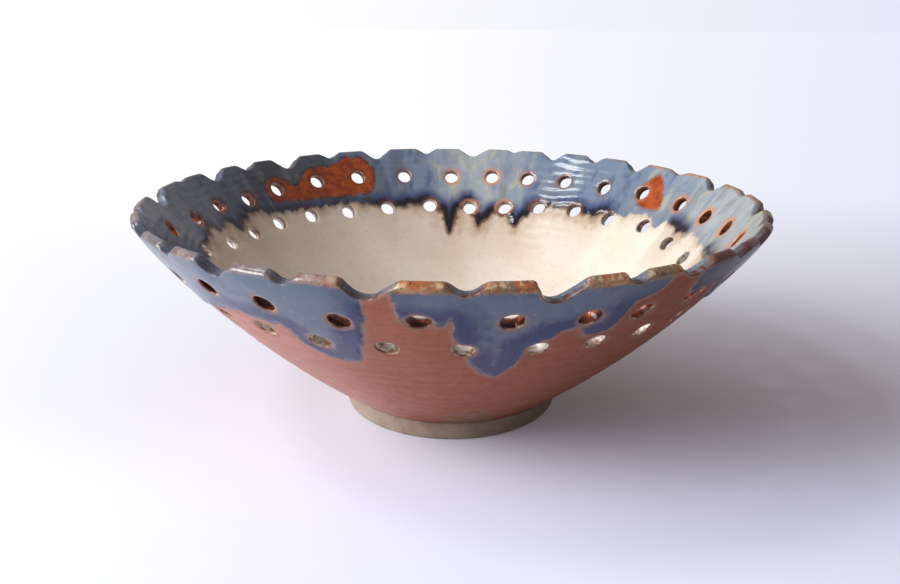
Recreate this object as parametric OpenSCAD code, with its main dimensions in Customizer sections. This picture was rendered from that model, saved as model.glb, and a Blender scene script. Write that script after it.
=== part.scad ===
/* [Bowl] */
// Diameter of the clay across the rim
rim_d = 211; // [190:1:240]
// Height of the clay rim above the table
bowl_h = 76.3; // [68:0.1:90]
// Thickness of the clay wall at the knee of its curve
wall_t = 3; // [2.6:0.1:4]
// Thickness of the clay at the rounded lip
lip_t = 2.6; // [2.2:0.1:3.4]
// Thickness of the clay wall where it leaves the foot
base_t = 5; // [4:0.1:7]
// Thickness of the clay floor above the foot ring
floor_t = 4.6; // [3.6:0.1:7]
// Radius of the inside curve from the floor to the wall
floor_r = 30; // [18:1:40]

/* [Foot] */
// Diameter of the foot ring on the table
foot_d = 77; // [68:1:90]
// Height of the foot ring
foot_h = 6.4; // [5:0.1:9]
// Width of the foot ring on the table
foot_w = 7; // [5:0.1:9]
// How far the foot ring's outer side leans in towards its top
foot_lean = 0.4; // [0:0.1:1.5]
// How far the recess under the bowl narrows towards its top
recess_lean = 1; // [0:0.1:2]
// Rounding of the foot ring's edges on the table
foot_round = 1; // [0.5:0.1:1.8]

/* [Drain holes] */
// Number of lobes on the rim, each with a hole of the upper row under it
lobe_count = 30; // [20:2:32]
// Diameter of each hole
hole_d = 6.4; // [5:0.1:7]
// Drop from the clay rim to the upper row of holes, outside
upper_drop = 12.4; // [11:0.1:14]
// Drop from the clay rim to the lower row of holes, outside
lower_drop = 24.2; // [22:0.1:27]
// How much flatter than square to the wall the holes are drilled, in degrees
hole_tilt = 10; // [0:1:16]

/* [Rim notches] */
// Width of a deep notch at the top
deep_w = 13.7; // [11:0.1:15]
// Depth of a deep notch
deep_h = 5; // [3.5:0.1:6]
// Width of a shallow notch at the top
shallow_w = 9.4; // [8:0.1:11]
// Depth of a shallow notch
shallow_h = 2.8; // [2:0.1:3.4]
// Rounding of the lobes' corners
lobe_round = 2.5; // [1:0.1:3]

/* [Glazes] */
// Thickness of the iron slip on the outside
slip_t = 0.25; // [0.2:0.05:0.5]
// Thickness of the cream liner glaze on the inside
liner_t = 0.3; // [0.2:0.05:0.6]
// Thickness of the blue glaze over the slip and the liner
blue_t = 0.35; // [0.2:0.05:0.6]
// Thickness of the toasted glaze over the lip
lip_glaze_t = 0.4; // [0.25:0.05:0.7]
// Thickness of the iron patches on the inside
patch_t = 0.15; // [0.1:0.05:0.2]

/* [Hidden] */

// Counts that set how finely round forms are drawn
turn_steps = 180;
hole_steps = 32;
wall_steps = 5;
lip_steps = 6;
floor_steps = 5;
edge_steps = 5;
notch_steps = 4;
lobe_steps = 3;
run_steps = 3;

// Where the wall's curve tightens, as shares of the way from the foot to the rim
knee_reach_share = 0.737;
knee_rise_share = 0.648;

// Radius of a notch's round bottom, as a share of the notch's width
notch_bottom_share = 0.3;

// Clear wall below the lower row and above the upper row, as shares of the hole
below_rows_share = 0.83;
above_rows_share = 0.95;

// How far each lobe and its hole sit from even spacing, as shares of the pitch, by hand
drift_shares = [
    0, -0.05, -0.2, -0.3, -0.3, -0.3, -0.15, -0.15, -0.15, -0.15,
    -0.25, -0.4, -0.5, -0.55, -0.7, -0.7, -0.6, -0.6, -0.6, -0.6,
    -0.6, -0.4, -0.2, 0, -0.05, -0.15, -0.25, -0.2, -0.2, -0.1
];

// How far each hole sits above its row, upper row then lower, as shares of the hole
lift_shares = [
    [-0.1, -0.2], [-0.05, -0.1], [-0.05, 0.1], [0, 0.2], [-0.05, 0.1],
    [0.1, 0.25], [0.05, -0.1], [-0.05, -0.25], [0.05, 0.05], [0.2, 0],
    [0, 0], [0, 0.05], [-0.1, 0.05], [-0.25, 0.05], [0, 0.1],
    [0.1, 0.25], [0.1, 0.2], [-0.15, 0.2], [0.2, 0.2], [0.3, 0.05],
    [0, 0.1], [0.1, 0.1], [0.1, 0.25], [-0.2, -0.1], [-0.1, -0.1],
    [-0.2, 0], [0, 0], [0.1, -0.1], [0.1, -0.1], [0, -0.05]
];

// Width, depth and lean of each notch, as shares of its kind's width, depth and width
notch_shares = [
    [1.05, 0.7, 0], [0.7, 0.5, 0], [0.85, 0.7, 0], [1, 0.95, 0], [0.95, 0.8, 0],
    [1.15, 0.7, 0], [1, 0.8, 0], [1.05, 0.6, 0], [1, 0.75, 0], [1, 1, 0],
    [1, 1, 0], [1, 1, 0], [1, 0.8, 0.05], [0.8, 1, 0.05], [1, 1.2, 0.1],
    [1.05, 1.15, 0], [1.05, 1.05, 0.1], [0.85, 1.1, 0.05], [0.95, 0.95, 0.1], [0.85, 1, 0],
    [1, 1, 0], [1, 0.9, 0], [1.2, 1.05, 0], [0.8, 0.4, 0], [1, 0.85, 0],
    [1.15, 1, 0], [1.1, 0.9, 0], [1.1, 0.85, 0], [1, 0.8, 0], [1.05, 0.85, 0]
];

// Lower edge of the blue glaze outside: azimuth in degrees, share of the rim's radius
outer_run_shares = [
    [0, 0.9], [8, 0.86], [14, 0.8], [18, 0.78], [23, 0.82], [28, 0.9], [36, 0.93],
    [44, 0.88], [50, 0.82], [56, 0.84], [62, 0.91], [70, 0.95], [78, 0.9], [84, 0.84],
    [90, 0.8], [95, 0.82], [101, 0.89], [108, 0.93], [116, 0.9], [122, 0.86], [128, 0.88],
    [134, 0.95], [136.5, 0.92], [138.5, 0.91], [141, 0.95], [143, 1.02], [148, 1.02],
    [150, 0.97], [153, 0.95], [154.5, 0.88], [157, 0.87], [161, 0.905], [163, 0.9],
    [165, 0.87], [167.5, 0.86], [169, 0.78], [171, 0.745], [174, 0.755], [176, 0.79],
    [178, 0.84], [179.5, 0.88], [180.2, 0.95], [181.5, 0.92], [184.5, 0.945],
    [187.2, 0.93], [188.2, 1.02], [191.8, 1.02], [192.8, 0.93], [195, 0.85], [197, 0.79],
    [200, 0.78], [204, 0.79], [207, 0.82], [208.5, 0.88], [213, 0.88], [218, 0.89],
    [224, 0.88], [230, 0.86], [237, 0.84], [243, 0.88], [250, 0.9], [257, 0.85],
    [262, 0.81], [267, 0.83], [272, 0.89], [281, 0.92], [289, 0.87], [295, 0.82],
    [300, 0.84], [306, 0.9], [314, 0.93], [322, 0.88], [328, 0.8], [332, 0.78],
    [337, 0.82], [343, 0.89], [351, 0.92]
];

// Lower edge of the blue glaze inside: azimuth in degrees, share of the rim's radius
inner_run_shares = [
    [2, 0.8], [5, 0.815], [7, 0.78], [9, 0.74], [11, 0.77], [14, 0.79], [18, 0.78],
    [21, 0.75], [23.5, 0.785], [26, 0.815], [32, 0.825], [40, 0.825], [44, 0.815],
    [48, 0.83], [55, 0.835], [59, 0.85], [63, 0.855], [67, 0.83], [71, 0.855],
    [77, 0.845], [84, 0.855], [91, 0.845], [100, 0.835], [110, 0.85], [120, 0.84],
    [128, 0.8], [133, 0.78], [138, 0.82], [148, 0.84], [158, 0.83], [164, 0.78],
    [168, 0.76], [172, 0.8], [180, 0.84], [190, 0.83], [200, 0.84], [208, 0.8],
    [213, 0.78], [218, 0.82], [228, 0.85], [240, 0.84], [251, 0.85], [258, 0.83],
    [265, 0.81], [272, 0.84], [278, 0.86], [282, 0.84], [285, 0.86], [289, 0.825],
    [293, 0.85], [297, 0.86], [304, 0.84], [310, 0.835], [320, 0.832], [330, 0.832],
    [336, 0.82], [342, 0.807], [348, 0.815], [353, 0.82], [357, 0.79], [359.5, 0.715]
];

// Outlines of the iron patches inside: azimuth in degrees, share of the rim's radius
patch_shares = [
    [[308, 0.865], [316, 0.86], [326, 0.858], [335.5, 0.856], [337.3, 0.875],
     [337.8, 0.905], [337.9, 0.93], [336.8, 0.95], [330, 0.95], [320, 0.945],
     [316.5, 0.915], [314, 0.92], [312, 0.935], [308.5, 0.93], [307.8, 0.9]],
    [[53.5, 0.905], [55.5, 0.93], [57.5, 0.95], [59, 0.95], [61.3, 0.92],
     [63.2, 0.872], [61.5, 0.863], [57.5, 0.872]]
];

// Sizes that follow from the ones above
rim_r = rim_d / 2;
lip_r = lip_t / 2;
foot_r = foot_d / 2;
pitch = 360 / lobe_count;
upper_z = bowl_h - upper_drop;
lower_z = bowl_h - lower_drop;
drill_l = 5 * wall_t;
prism_h = bowl_h + wall_t;

// A notch cutter stands a little above the glazed lip and reaches through the wall
notch_top = bowl_h + 1.5 * lip_glaze_t;
notch_reach = 4 * wall_t;

// The outer wall is two arcs that meet at the knee and end on the round lip
lip_c = [rim_r - lip_r, bowl_h - lip_r];
heel = [foot_r - foot_lean, foot_h];
knee = [heel[0] + knee_reach_share * (rim_r - heel[0]),
        heel[1] + knee_rise_share * (bowl_h - heel[1])];
knee_angle = (angle_of(knee - heel) + angle_of(lip_c - knee)) / 2;
inward = [-sin(knee_angle), cos(knee_angle)];
wall_r = tangent_r(heel - knee);
wall_c = knee + wall_r * inward;
band_r = tangent_r(lip_c - knee - lip_r * inward) + lip_r;
band_c = knee + band_r * inward;
heel_end = angle_of(heel - wall_c);
knee_end = knee_angle - 90;
lip_end = angle_of(lip_c - band_c);

// The inner wall is two arcs as well, and a third one rounds it into the floor
inner_knee = knee + wall_t * inward;
inner_heel = heel - base_t * [cos(heel_end), sin(heel_end)];
floor_z = foot_h + floor_t;
inner_wall_r = tangent_r(inner_heel - inner_knee);
inner_wall_c = inner_knee + inner_wall_r * inward;
inner_band_r = tangent_r(lip_c - inner_knee + lip_r * inward) - lip_r;
inner_band_c = inner_knee + inner_band_r * inward;
inner_lip_end = angle_of(lip_c - inner_band_c);
floor_rise = inner_wall_c[1] - floor_z - floor_r;
floor_c = [inner_wall_c[0] + sqrt((inner_wall_r - floor_r)^2 - floor_rise^2), floor_z + floor_r];
floor_end = angle_of(floor_c - inner_wall_c);

function angle_of(v) = atan2(v[1], v[0]);

// Radius of the arc that leaves the knee along the wall and passes a point v away from it
function tangent_r(v) = (v * v) / (2 * v * inward);

function arc_point(c, r, angle) = c + r * [cos(angle), sin(angle)];

function arc(c, r, from, to, steps) =
    [for (i = [0:steps]) arc_point(c, r, from + (to - from) * i / steps)];

function backwards(list) = [for (i = [len(list) - 1:-1:0]) list[i]];

// Heights of the edges between the turned bands, set so that no hole crosses an edge
below_rows_z = lower_z - below_rows_share * hole_d;
between_rows_z = (lower_z + upper_z) / 2;
above_rows_z = upper_z + above_rows_share * hole_d;

// How much higher each of those edges sits on the inner face
inner_rise = wall_t * inward[1];

function angle_at(c, r, z) = asin((z - c[1]) / r);

// The outer face of the wall from heel to lip, moved out by the thickness t
function outer_line(t) =
    let (band_edges = [for (z = [between_rows_z, above_rows_z]) angle_at(band_c, band_r, z)])
    concat(
        arc(wall_c, wall_r + t, heel_end, angle_at(wall_c, wall_r, below_rows_z), wall_steps),
        [for (a = concat(band_edges, lip_end)) arc_point(band_c, band_r + t, a)]);

// The inner face of the wall from lip to floor, moved in by the thickness t
function inner_line(t) =
    let (band_edges = [for (z = [above_rows_z, between_rows_z])
             angle_at(inner_band_c, inner_band_r, z + inner_rise)],
         wall_edge = angle_at(inner_wall_c, inner_wall_r, below_rows_z + inner_rise))
    concat(
        [for (a = concat(inner_lip_end, band_edges)) arc_point(inner_band_c, inner_band_r - t, a)],
        arc(inner_wall_c, inner_wall_r - t, wall_edge, floor_end, wall_steps));

function floor_line(t) = concat(
    arc(floor_c, floor_r - t, floor_end, -90, floor_steps),
    [[0, floor_z + t]]);

function lip_line(t) = arc(lip_c, lip_r + t, lip_end, inner_lip_end + 180, lip_steps);

// Tables by hand repeat when there are more lobes than entries
function entry(table, k) = table[k % len(table)];

function lobe_azimuth(k) = pitch * (k + entry(drift_shares, k));

function gap_azimuth(k) = (lobe_azimuth(k) + lobe_azimuth((k + 1) % lobe_count)
    + (k + 1 == lobe_count ? 360 : 0)) / 2;

// A point of a plan outline, at an azimuth counted from the back towards the right
function plan_point(azimuth, share) = rim_r * share * [sin(azimuth), cos(azimuth)];

// The plan outline of a run glaze's edge, swinging smoothly from each entry to the next
function run_outline(table) = [
    for (i = [0:len(table) - 1], s = [0:run_steps - 1])
        let (last = i == len(table) - 1,
             here = table[i],
             next = last ? [table[0][0] + 360, table[0][1]] : table[i + 1],
             swing = (1 - cos(180 * s / run_steps)) / 2)
        plan_point(here[0] + (next[0] - here[0]) * s / run_steps,
                   here[1] + (next[1] - here[1]) * swing)
];

module turn() rotate_extrude($fn = turn_steps) children();

module at_azimuth(azimuth) rotate([0, 0, 90 - azimuth]) children();

// A drill across the wall at a height on its outer face
module drill(z) {
    above = z > knee[1];
    c = above ? band_c : wall_c;
    r = above ? band_r : wall_r;
    a = asin((z - c[1]) / r);
    translate([c[0] + r * cos(a), 0, z])
        rotate([0, 90 - a - hole_tilt, 0])
            cylinder(d = hole_d, h = drill_l, center = true, $fn = hole_steps);
}

// Half of a notch's outline, from the middle of its bottom over the lobe's round corner
function half_notch(half_w, depth, bottom_r) =
    let (centre = [0, bottom_r - depth],
         corner = [half_w, 0],
         reach = corner - centre,
         side_angle = asin(bottom_r / norm(reach)) + angle_of(reach),
         tangent = lobe_round * tan(side_angle / 2))
    concat(arc(centre, bottom_r, -90, side_angle - 90, notch_steps),
           arc(corner + [tangent, -lobe_round], lobe_round, side_angle + 90, 90, lobe_steps),
           [corner + [tangent, lip_t], [0, lip_t]]);

// A cutter for one notch, aimed at the bowl's axis
module notch(k) {
    shares = entry(notch_shares, k);
    deep = k % 2 == 0;
    w = shares[0] * (deep ? deep_w : shallow_w);
    depth = shares[1] * (deep ? deep_h : shallow_h) + notch_top - bowl_h - lip_glaze_t;
    bottom_r = notch_bottom_share * w;
    lean = shares[2] * w;
    translate([rim_r - notch_reach, 0, notch_top])
        rotate([90, 0, 90])
            linear_extrude(height = 2 * notch_reach)
                polygon(concat(
                    [for (p = half_notch(w / 2 + lean, depth, bottom_r)) p - [lean, 0]],
                    backwards([for (p = half_notch(w / 2 - lean, depth, bottom_r))
                        [-p[0] - lean, p[1]]])));
}

module cuts() {
    for (k = [0:lobe_count - 1]) {
        at_azimuth(lobe_azimuth(k))
            drill(upper_z + hole_d * entry(lift_shares, k)[0]);
        at_azimuth(gap_azimuth(k)) {
            drill(lower_z + hole_d * entry(lift_shares, k)[1]);
            notch(k);
        }
    }
}

// A layer turned from the points of its two faces
module layer(face, back) {
    turn() polygon(concat(face, backwards(back)));
}

// What is drawn here, with the holes and notches through it
module pierced() {
    difference() {
        children();
        cuts();
    }
}

module run_core(table) {
    linear_extrude(height = prism_h) polygon(run_outline(table));
}

module patch_prisms() {
    for (outline = patch_shares)
        linear_extrude(height = prism_h)
            polygon([for (p = outline) plan_point(p[0], p[1])]);
}

// The thrown clay: floor, flaring wall and rounded lip, drilled and notched
module clay_wall() {
    color("tan") pierced() turn()
        polygon(concat(outer_line(0), lip_line(0), inner_line(0), floor_line(0),
                       [[0, foot_h]]));
}

// The turned foot ring of bare clay, with softened edges where it meets the table
module foot_ring() {
    bottom_in = foot_r - foot_w;
    color("gray") turn()
        polygon(concat(
            [[bottom_in - recess_lean, foot_h]],
            arc([bottom_in + foot_round, foot_round], foot_round, 180, 270, edge_steps),
            arc([foot_r - foot_round, foot_round], foot_round, -90, 0, edge_steps),
            [heel]));
}

// The iron slip over the whole outside, from the foot to the lip
module iron_slip() {
    color("indianred") pierced() layer(outer_line(slip_t), outer_line(0));
}

// The cream liner glaze over the whole inside, from the lip to the middle of the floor
module cream_liner() {
    color("antiquewhite") pierced()
        layer(concat(inner_line(liner_t), floor_line(liner_t)),
              concat(inner_line(0), floor_line(0)));
}

// The blue glaze outside, a band under the rim that has run down in tongues
module blue_outside() {
    color("steelblue") pierced() difference() {
        layer(outer_line(slip_t + blue_t), outer_line(slip_t));
        run_core(outer_run_shares);
    }
}

// The blue glaze inside, run down between the lower holes and open at the iron patches
module blue_inside() {
    color("slategray") pierced() difference() {
        layer(inner_line(liner_t + blue_t), inner_line(liner_t));
        run_core(inner_run_shares);
        patch_prisms();
    }
}

// The iron patches that show through windows in the blue glaze inside
module iron_patches() {
    color("sienna") pierced() intersection() {
        layer(inner_line(liner_t + patch_t), inner_line(liner_t));
        patch_prisms();
    }
}

// The glaze over the lip, thin and toasted on its lobes
module lip_glaze() {
    color("peru") pierced() layer(lip_line(lip_glaze_t), lip_line(0));
}

clay_wall();
foot_ring();
iron_slip();
cream_liner();
blue_outside();
blue_inside();
iron_patches();
lip_glaze();
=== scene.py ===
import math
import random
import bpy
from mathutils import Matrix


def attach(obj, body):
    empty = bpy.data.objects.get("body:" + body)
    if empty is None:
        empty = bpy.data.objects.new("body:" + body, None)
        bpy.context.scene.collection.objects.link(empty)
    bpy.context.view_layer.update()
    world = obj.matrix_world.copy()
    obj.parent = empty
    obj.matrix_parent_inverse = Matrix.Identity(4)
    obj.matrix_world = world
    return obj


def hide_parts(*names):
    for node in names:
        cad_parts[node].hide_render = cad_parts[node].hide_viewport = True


bl_info = {
    "name": "Berry colander bowl",
    "version": (1, 0, 0),
    "blender": (4, 5, 0),
    "location": "View3D > Sidebar > Bowl",
    "description": "Builds the glazed skin, drain holes and notched lip of a thrown colander bowl",
    "category": "Object",
}

from types import SimpleNamespace

import bpy
import numpy as np
from bpy.props import FloatProperty, FloatVectorProperty, PointerProperty
from mathutils import Matrix, Vector, geometry, kdtree

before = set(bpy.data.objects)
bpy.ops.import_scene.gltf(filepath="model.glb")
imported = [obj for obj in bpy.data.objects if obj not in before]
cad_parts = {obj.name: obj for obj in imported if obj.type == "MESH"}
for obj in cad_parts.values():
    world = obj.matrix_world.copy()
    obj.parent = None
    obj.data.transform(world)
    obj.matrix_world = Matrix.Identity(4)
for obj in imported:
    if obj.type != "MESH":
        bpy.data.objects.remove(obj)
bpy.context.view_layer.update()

MM = 0.001
COUNT = 30                          # lobes, notches and holes of each row
PITCH = 360 / COUNT                 # degrees from lobe to lobe
KNEE_AT = np.array((0.737, 0.648))  # the wall's knee, as shares of its way out and up
HOLE_SHARE = 0.485                  # radius of a glazed hole, as a share of the drilled width
DRILL_TILT = math.radians(10)       # how much flatter than square to the wall the holes run
BAND_FROM = 0.452                   # where the band of holes starts, as a share of the height
UNDER_GLAZE = 0.3                   # how deep the clay lies under the finished surface, in mm
EDGE_LOBE, EDGE_NOTCH, EDGE_HOLE = 1.15, 0.7, 0.42  # radius of the rounded edges, in mm
RIM_RINGS = (0.076, 0.293, 0.617, 1.0, 1.6)  # along the rim, as shares of its edge's radius
HOLE_RINGS = (0, 0.06, 0.22, 0.5, 1.3)       # round each hole, in mm from its edge
SEAM = 59.5                         # azimuth where the skin is cut open, in degrees
AROUND, FOOT_AROUND = 300, 240      # points round each ring
FAR = 40.0                          # a gap that is too wide to matter, in mm
FLOOR_HALF = 40.0                   # half the side of the paper floor, in m
LIP, SLIP, BLUE_OUT, LINER, BLUE_IN, PATCH = range(6)
SKY_LEFT, SKY_RIGHT = (1.0, 1.0, 1.0, 1.0), (0.78, 0.8, 0.93, 1.0)

# Azimuths run in degrees from the back, +Y, towards the right, +X

# How far each lobe sits from even spacing, as a share of the pitch
LOBE_DRIFT = (
    0, -0.05, -0.2, -0.3, -0.3, -0.3, -0.15, -0.15, -0.15, -0.15,
    -0.25, -0.4, -0.5, -0.55, -0.7, -0.7, -0.6, -0.6, -0.6, -0.6,
    -0.6, -0.4, -0.2, 0, -0.05, -0.15, -0.25, -0.2, -0.2, -0.1,
)

# How far each hole sits above its row, upper row then lower, as shares of the hole
HOLE_LIFT = (
    (-0.1, -0.2), (-0.05, -0.1), (-0.05, 0.1), (0, 0.2), (-0.05, 0.1),
    (0.1, 0.25), (0.05, -0.1), (-0.05, -0.25), (0.05, 0.05), (0.2, 0),
    (0, 0), (0, 0.05), (-0.1, 0.05), (-0.25, 0.05), (0, 0.1),
    (0.1, 0.25), (0.1, 0.2), (-0.15, 0.2), (0.2, 0.2), (0.3, 0.05),
    (0, 0.1), (0.1, 0.1), (0.1, 0.25), (-0.2, -0.1), (-0.1, -0.1),
    (-0.2, 0), (0, 0), (0.1, -0.1), (0.1, -0.1), (0, -0.05),
)

# Width, depth and lean of each notch, as shares of its kind's width, depth and width
NOTCHES = (
    (1.05, 0.7, 0), (0.7, 0.5, 0), (0.85, 0.7, 0), (1, 0.95, 0), (0.95, 0.8, 0),
    (1.15, 0.7, 0), (1, 0.8, 0), (1.05, 0.6, 0), (1, 0.75, 0), (1, 1, 0),
    (1, 1, 0), (1, 1, 0), (1, 0.8, 0.05), (0.8, 1, 0.05), (1, 1.2, 0.1),
    (1.05, 1.15, 0), (1.05, 1.05, 0.1), (0.85, 1.1, 0.05), (0.95, 0.95, 0.1), (0.85, 1, 0),
    (1, 1, 0), (1, 0.9, 0), (1.2, 1.05, 0), (0.8, 0.4, 0), (1, 0.85, 0),
    (1.15, 1, 0), (1.1, 0.9, 0), (1.1, 0.85, 0), (1, 0.8, 0), (1.05, 0.85, 0),
)

# Lower edge of the blue glaze outside: azimuth in degrees, share of the rim's radius
OUTER_RUN = (
    (0, 0.9), (8, 0.86), (14, 0.8), (18, 0.78), (23, 0.82), (28, 0.9), (36, 0.93),
    (44, 0.88), (50, 0.82), (56, 0.84), (62, 0.91), (70, 0.95), (78, 0.9), (84, 0.84),
    (90, 0.8), (95, 0.82), (101, 0.89), (108, 0.93), (116, 0.9), (122, 0.86), (128, 0.88),
    (134, 0.95), (136.5, 0.92), (138.5, 0.91), (141, 0.95), (143, 1.02), (148, 1.02),
    (150, 0.97), (153, 0.95), (154.5, 0.88), (157, 0.87), (161, 0.905), (163, 0.9),
    (165, 0.87), (167.5, 0.86), (169, 0.78), (171, 0.745), (174, 0.755), (176, 0.79),
    (178, 0.84), (179.5, 0.88), (180.2, 0.95), (181.5, 0.92), (184.5, 0.945),
    (187.2, 0.93), (188.2, 1.02), (191.8, 1.02), (192.8, 0.93), (195, 0.85), (197, 0.79),
    (200, 0.78), (204, 0.79), (207, 0.82), (208.5, 0.88), (213, 0.88), (218, 0.89),
    (224, 0.88), (230, 0.86), (237, 0.84), (243, 0.88), (250, 0.9), (257, 0.85),
    (262, 0.81), (267, 0.83), (272, 0.89), (281, 0.92), (289, 0.87), (295, 0.82),
    (300, 0.84), (306, 0.9), (314, 0.93), (322, 0.88), (328, 0.8), (332, 0.78),
    (337, 0.82), (343, 0.89), (351, 0.92),
)

# Lower edge of the blue glaze inside: azimuth in degrees, share of the rim's radius
INNER_RUN = (
    (2, 0.8), (5, 0.815), (7, 0.78), (9, 0.74), (11, 0.77), (14, 0.79), (18, 0.78),
    (21, 0.75), (23.5, 0.785), (26, 0.815), (32, 0.825), (40, 0.825), (44, 0.815),
    (48, 0.83), (55, 0.835), (59, 0.85), (63, 0.855), (67, 0.83), (71, 0.855),
    (77, 0.845), (84, 0.855), (91, 0.845), (100, 0.835), (110, 0.85), (120, 0.84),
    (128, 0.8), (133, 0.78), (138, 0.82), (148, 0.84), (158, 0.83), (164, 0.78),
    (168, 0.76), (172, 0.8), (180, 0.84), (190, 0.83), (200, 0.84), (208, 0.8),
    (213, 0.78), (218, 0.82), (228, 0.85), (240, 0.84), (251, 0.85), (258, 0.83),
    (265, 0.81), (272, 0.84), (278, 0.86), (282, 0.84), (285, 0.86), (289, 0.825),
    (293, 0.85), (297, 0.86), (304, 0.84), (310, 0.835), (320, 0.832), (330, 0.832),
    (336, 0.82), (342, 0.807), (348, 0.815), (353, 0.82), (357, 0.79), (359.5, 0.715),
)

# Outlines of the iron patches inside: azimuth in degrees, share of the rim's radius
PATCHES = (
    ((305.5, 0.87), (310, 0.867), (315.5, 0.861), (324, 0.856), (330, 0.855),
     (333.5, 0.856), (336.8, 0.862), (337.6, 0.892), (338.4, 0.918), (337.8, 0.938),
     (336.5, 0.956), (334, 0.965), (331, 0.965), (329.3, 0.955), (327.5, 0.947),
     (321.7, 0.945), (318.6, 0.938), (316.6, 0.912), (314, 0.902), (312.5, 0.922),
     (309, 0.936), (306.5, 0.93), (305.2, 0.9)),
    ((54.8, 0.905), (55.3, 0.929), (57, 0.95), (58.7, 0.963), (60.3, 0.95),
     (61.8, 0.933), (64.3, 0.895), (64.8, 0.873), (60, 0.868), (56.6, 0.875)),
)

# How toasted the lip is round the rim: azimuth in degrees, share
LIP_TOAST = (
    (0, 0.2), (25, 0.3), (45, 0.5), (65, 0.85), (100, 0.8), (125, 0.9), (140, 1), (165, 1),
    (188, 1), (194, 0.7), (200, 0.4), (210, 0.25), (260, 0.2), (290, 0.2), (330, 0.2),
)

# How dark and red the lip is drawn: on the lobes partly the fire's colour and partly painted shade where
# they are turned from the lamp, and painted shade on the notches' cut faces: azimuth in degrees, share
LIP_SCORCH_AND_SHADE = (
    (0, 0.6), (25, 0.5), (45, 0.3), (75, 0.25), (95, 0.7), (106, 1), (138, 1), (143, 0.35),
    (165, 0.05), (190, 0.2), (198, 0.45), (207, 0.1), (240, 0.1), (275, 0.3), (300, 0.6), (345, 0.6),
)

# How pale the blue glaze inside is drawn, as painted light and shade: pale where the lamp lights the inner
# wall, dark in painted shade where the wall is turned away, with a painted sheen near 255 to 285 degrees:
# azimuth in degrees, share
INNER_LIGHT_AND_SHADE = (
    (0, 0.72), (13, 0.78), (26, 0.5), (48, 0.4), (60, 0.66), (100, 1), (130, 0.8), (160, 0.5),
    (200, 0.4), (235, 0.25), (255, 0.38), (272, 0.42), (286, 0.28), (305, 0.05), (320, 0.1),
    (338, 0.25), (350, 0.35),
)

# How dark and thick its lower edge is inside: azimuth in degrees, share
INNER_EDGE = (
    (0, 1), (24, 1), (30, 0.8), (48, 0.9), (53, 0.1), (70, 0.1), (73, 0.95), (79, 0.95), (82, 0.1),
    (93, 0.1), (95.5, 0.8), (101, 0.8), (104, 0.2), (120, 0.4), (160, 0.6), (200, 0.6), (240, 0.6),
    (252, 0.8), (258, 0.2), (268, 0.2), (276, 0.7), (282, 0.2), (292, 0.8), (304, 0.3), (330, 0.4),
    (340, 0.9),
)

# Painted shade on the slip and the blue outside, strongest on the side turned from the lamp; where it is
# low, the slip gets a painted pale sheen: azimuth in degrees, share
OUTER_PAINTED_SHADE = (
    (20, 0.5), (60, 0.8), (100, 1), (145, 0.85), (168, 0.5), (190, 0.3), (215, 0.05), (260, 0),
    (290, 0.3), (340, 0.5),
)


def to_linear(c):
    return c / 12.92 if c <= 0.04045 else ((c + 0.055) / 1.055) ** 2.4


def mm_prop(name, description, default, low, high):
    return FloatProperty(name=name, description=description, default=default * MM,
                         min=low * MM, max=high * MM, precision=5, subtype="DISTANCE", unit="LENGTH")


def colour_prop(name, description, *rgb):
    """A colour written as it looks on the fired pot, 0 to 255."""
    return FloatVectorProperty(name=name, description=description, size=3, min=0, max=1,
                               default=[to_linear(c / 255) for c in rgb], subtype="COLOR")


class BowlSizes(bpy.types.PropertyGroup):
    rim_d: mm_prop("Rim", "Diameter of the clay across the rim", 211, 190, 240)
    bowl_h: mm_prop("Height", "Height of the clay rim above the table", 76.3, 68, 90)
    wall_t: mm_prop("Wall", "Thickness of the clay wall at its knee", 3, 2.6, 4)
    lip_t: mm_prop("Lip", "Thickness of the clay at the lip", 2.6, 2.2, 3.4)
    base_t: mm_prop("Base", "Thickness of the wall at the foot", 5, 4, 7)
    floor_t: mm_prop("Floor", "Thickness of the floor above the foot ring", 4.6, 3.6, 7)
    floor_r: mm_prop("Floor curve", "Radius from the floor to the wall, inside", 30, 18, 40)
    foot_d: mm_prop("Foot", "Diameter of the foot ring on the table", 77, 68, 90)
    foot_h: mm_prop("Foot height", "Height of the foot ring", 6.4, 5, 9)
    foot_w: mm_prop("Foot width", "Width of the foot ring on the table", 7, 5, 9)
    foot_lean: mm_prop("Foot lean", "How far the foot's side leans in", 0.4, 0, 1.5)
    hole_d: mm_prop("Holes", "Diameter of each drain hole", 6.4, 5, 7)
    upper_drop: mm_prop("Upper row", "Drop from the rim to the upper holes", 12.4, 11, 14)
    lower_drop: mm_prop("Lower row", "Drop from the rim to the lower holes", 24.2, 22, 27)
    deep_w: mm_prop("Deep notch width", "Width of a deep notch at the top", 13.7, 11, 15)
    deep_h: mm_prop("Deep notch depth", "Depth of a deep notch", 5, 3.5, 6)
    shallow_w: mm_prop("Shallow notch width", "Width of a shallow notch", 9.4, 8, 11)
    shallow_h: mm_prop("Shallow notch depth", "Depth of a shallow notch", 2.8, 2, 3.4)
    lobe_round: mm_prop("Lobe corners", "Rounding of the lobes' corners", 2.5, 1, 3)
    slip_t: mm_prop("Slip", "Thickness of the iron slip", 0.25, 0.2, 0.5)
    liner_t: mm_prop("Liner", "Thickness of the cream liner", 0.3, 0.2, 0.6)
    blue_t: mm_prop("Blue", "Thickness of the blue glaze", 0.35, 0.2, 0.6)
    lip_glaze_t: mm_prop("Lip glaze", "Thickness of the glaze over the lip", 0.4, 0.25, 0.7)
    patch_t: mm_prop("Iron patches", "Thickness of the iron patches", 0.15, 0.1, 0.2)


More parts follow.
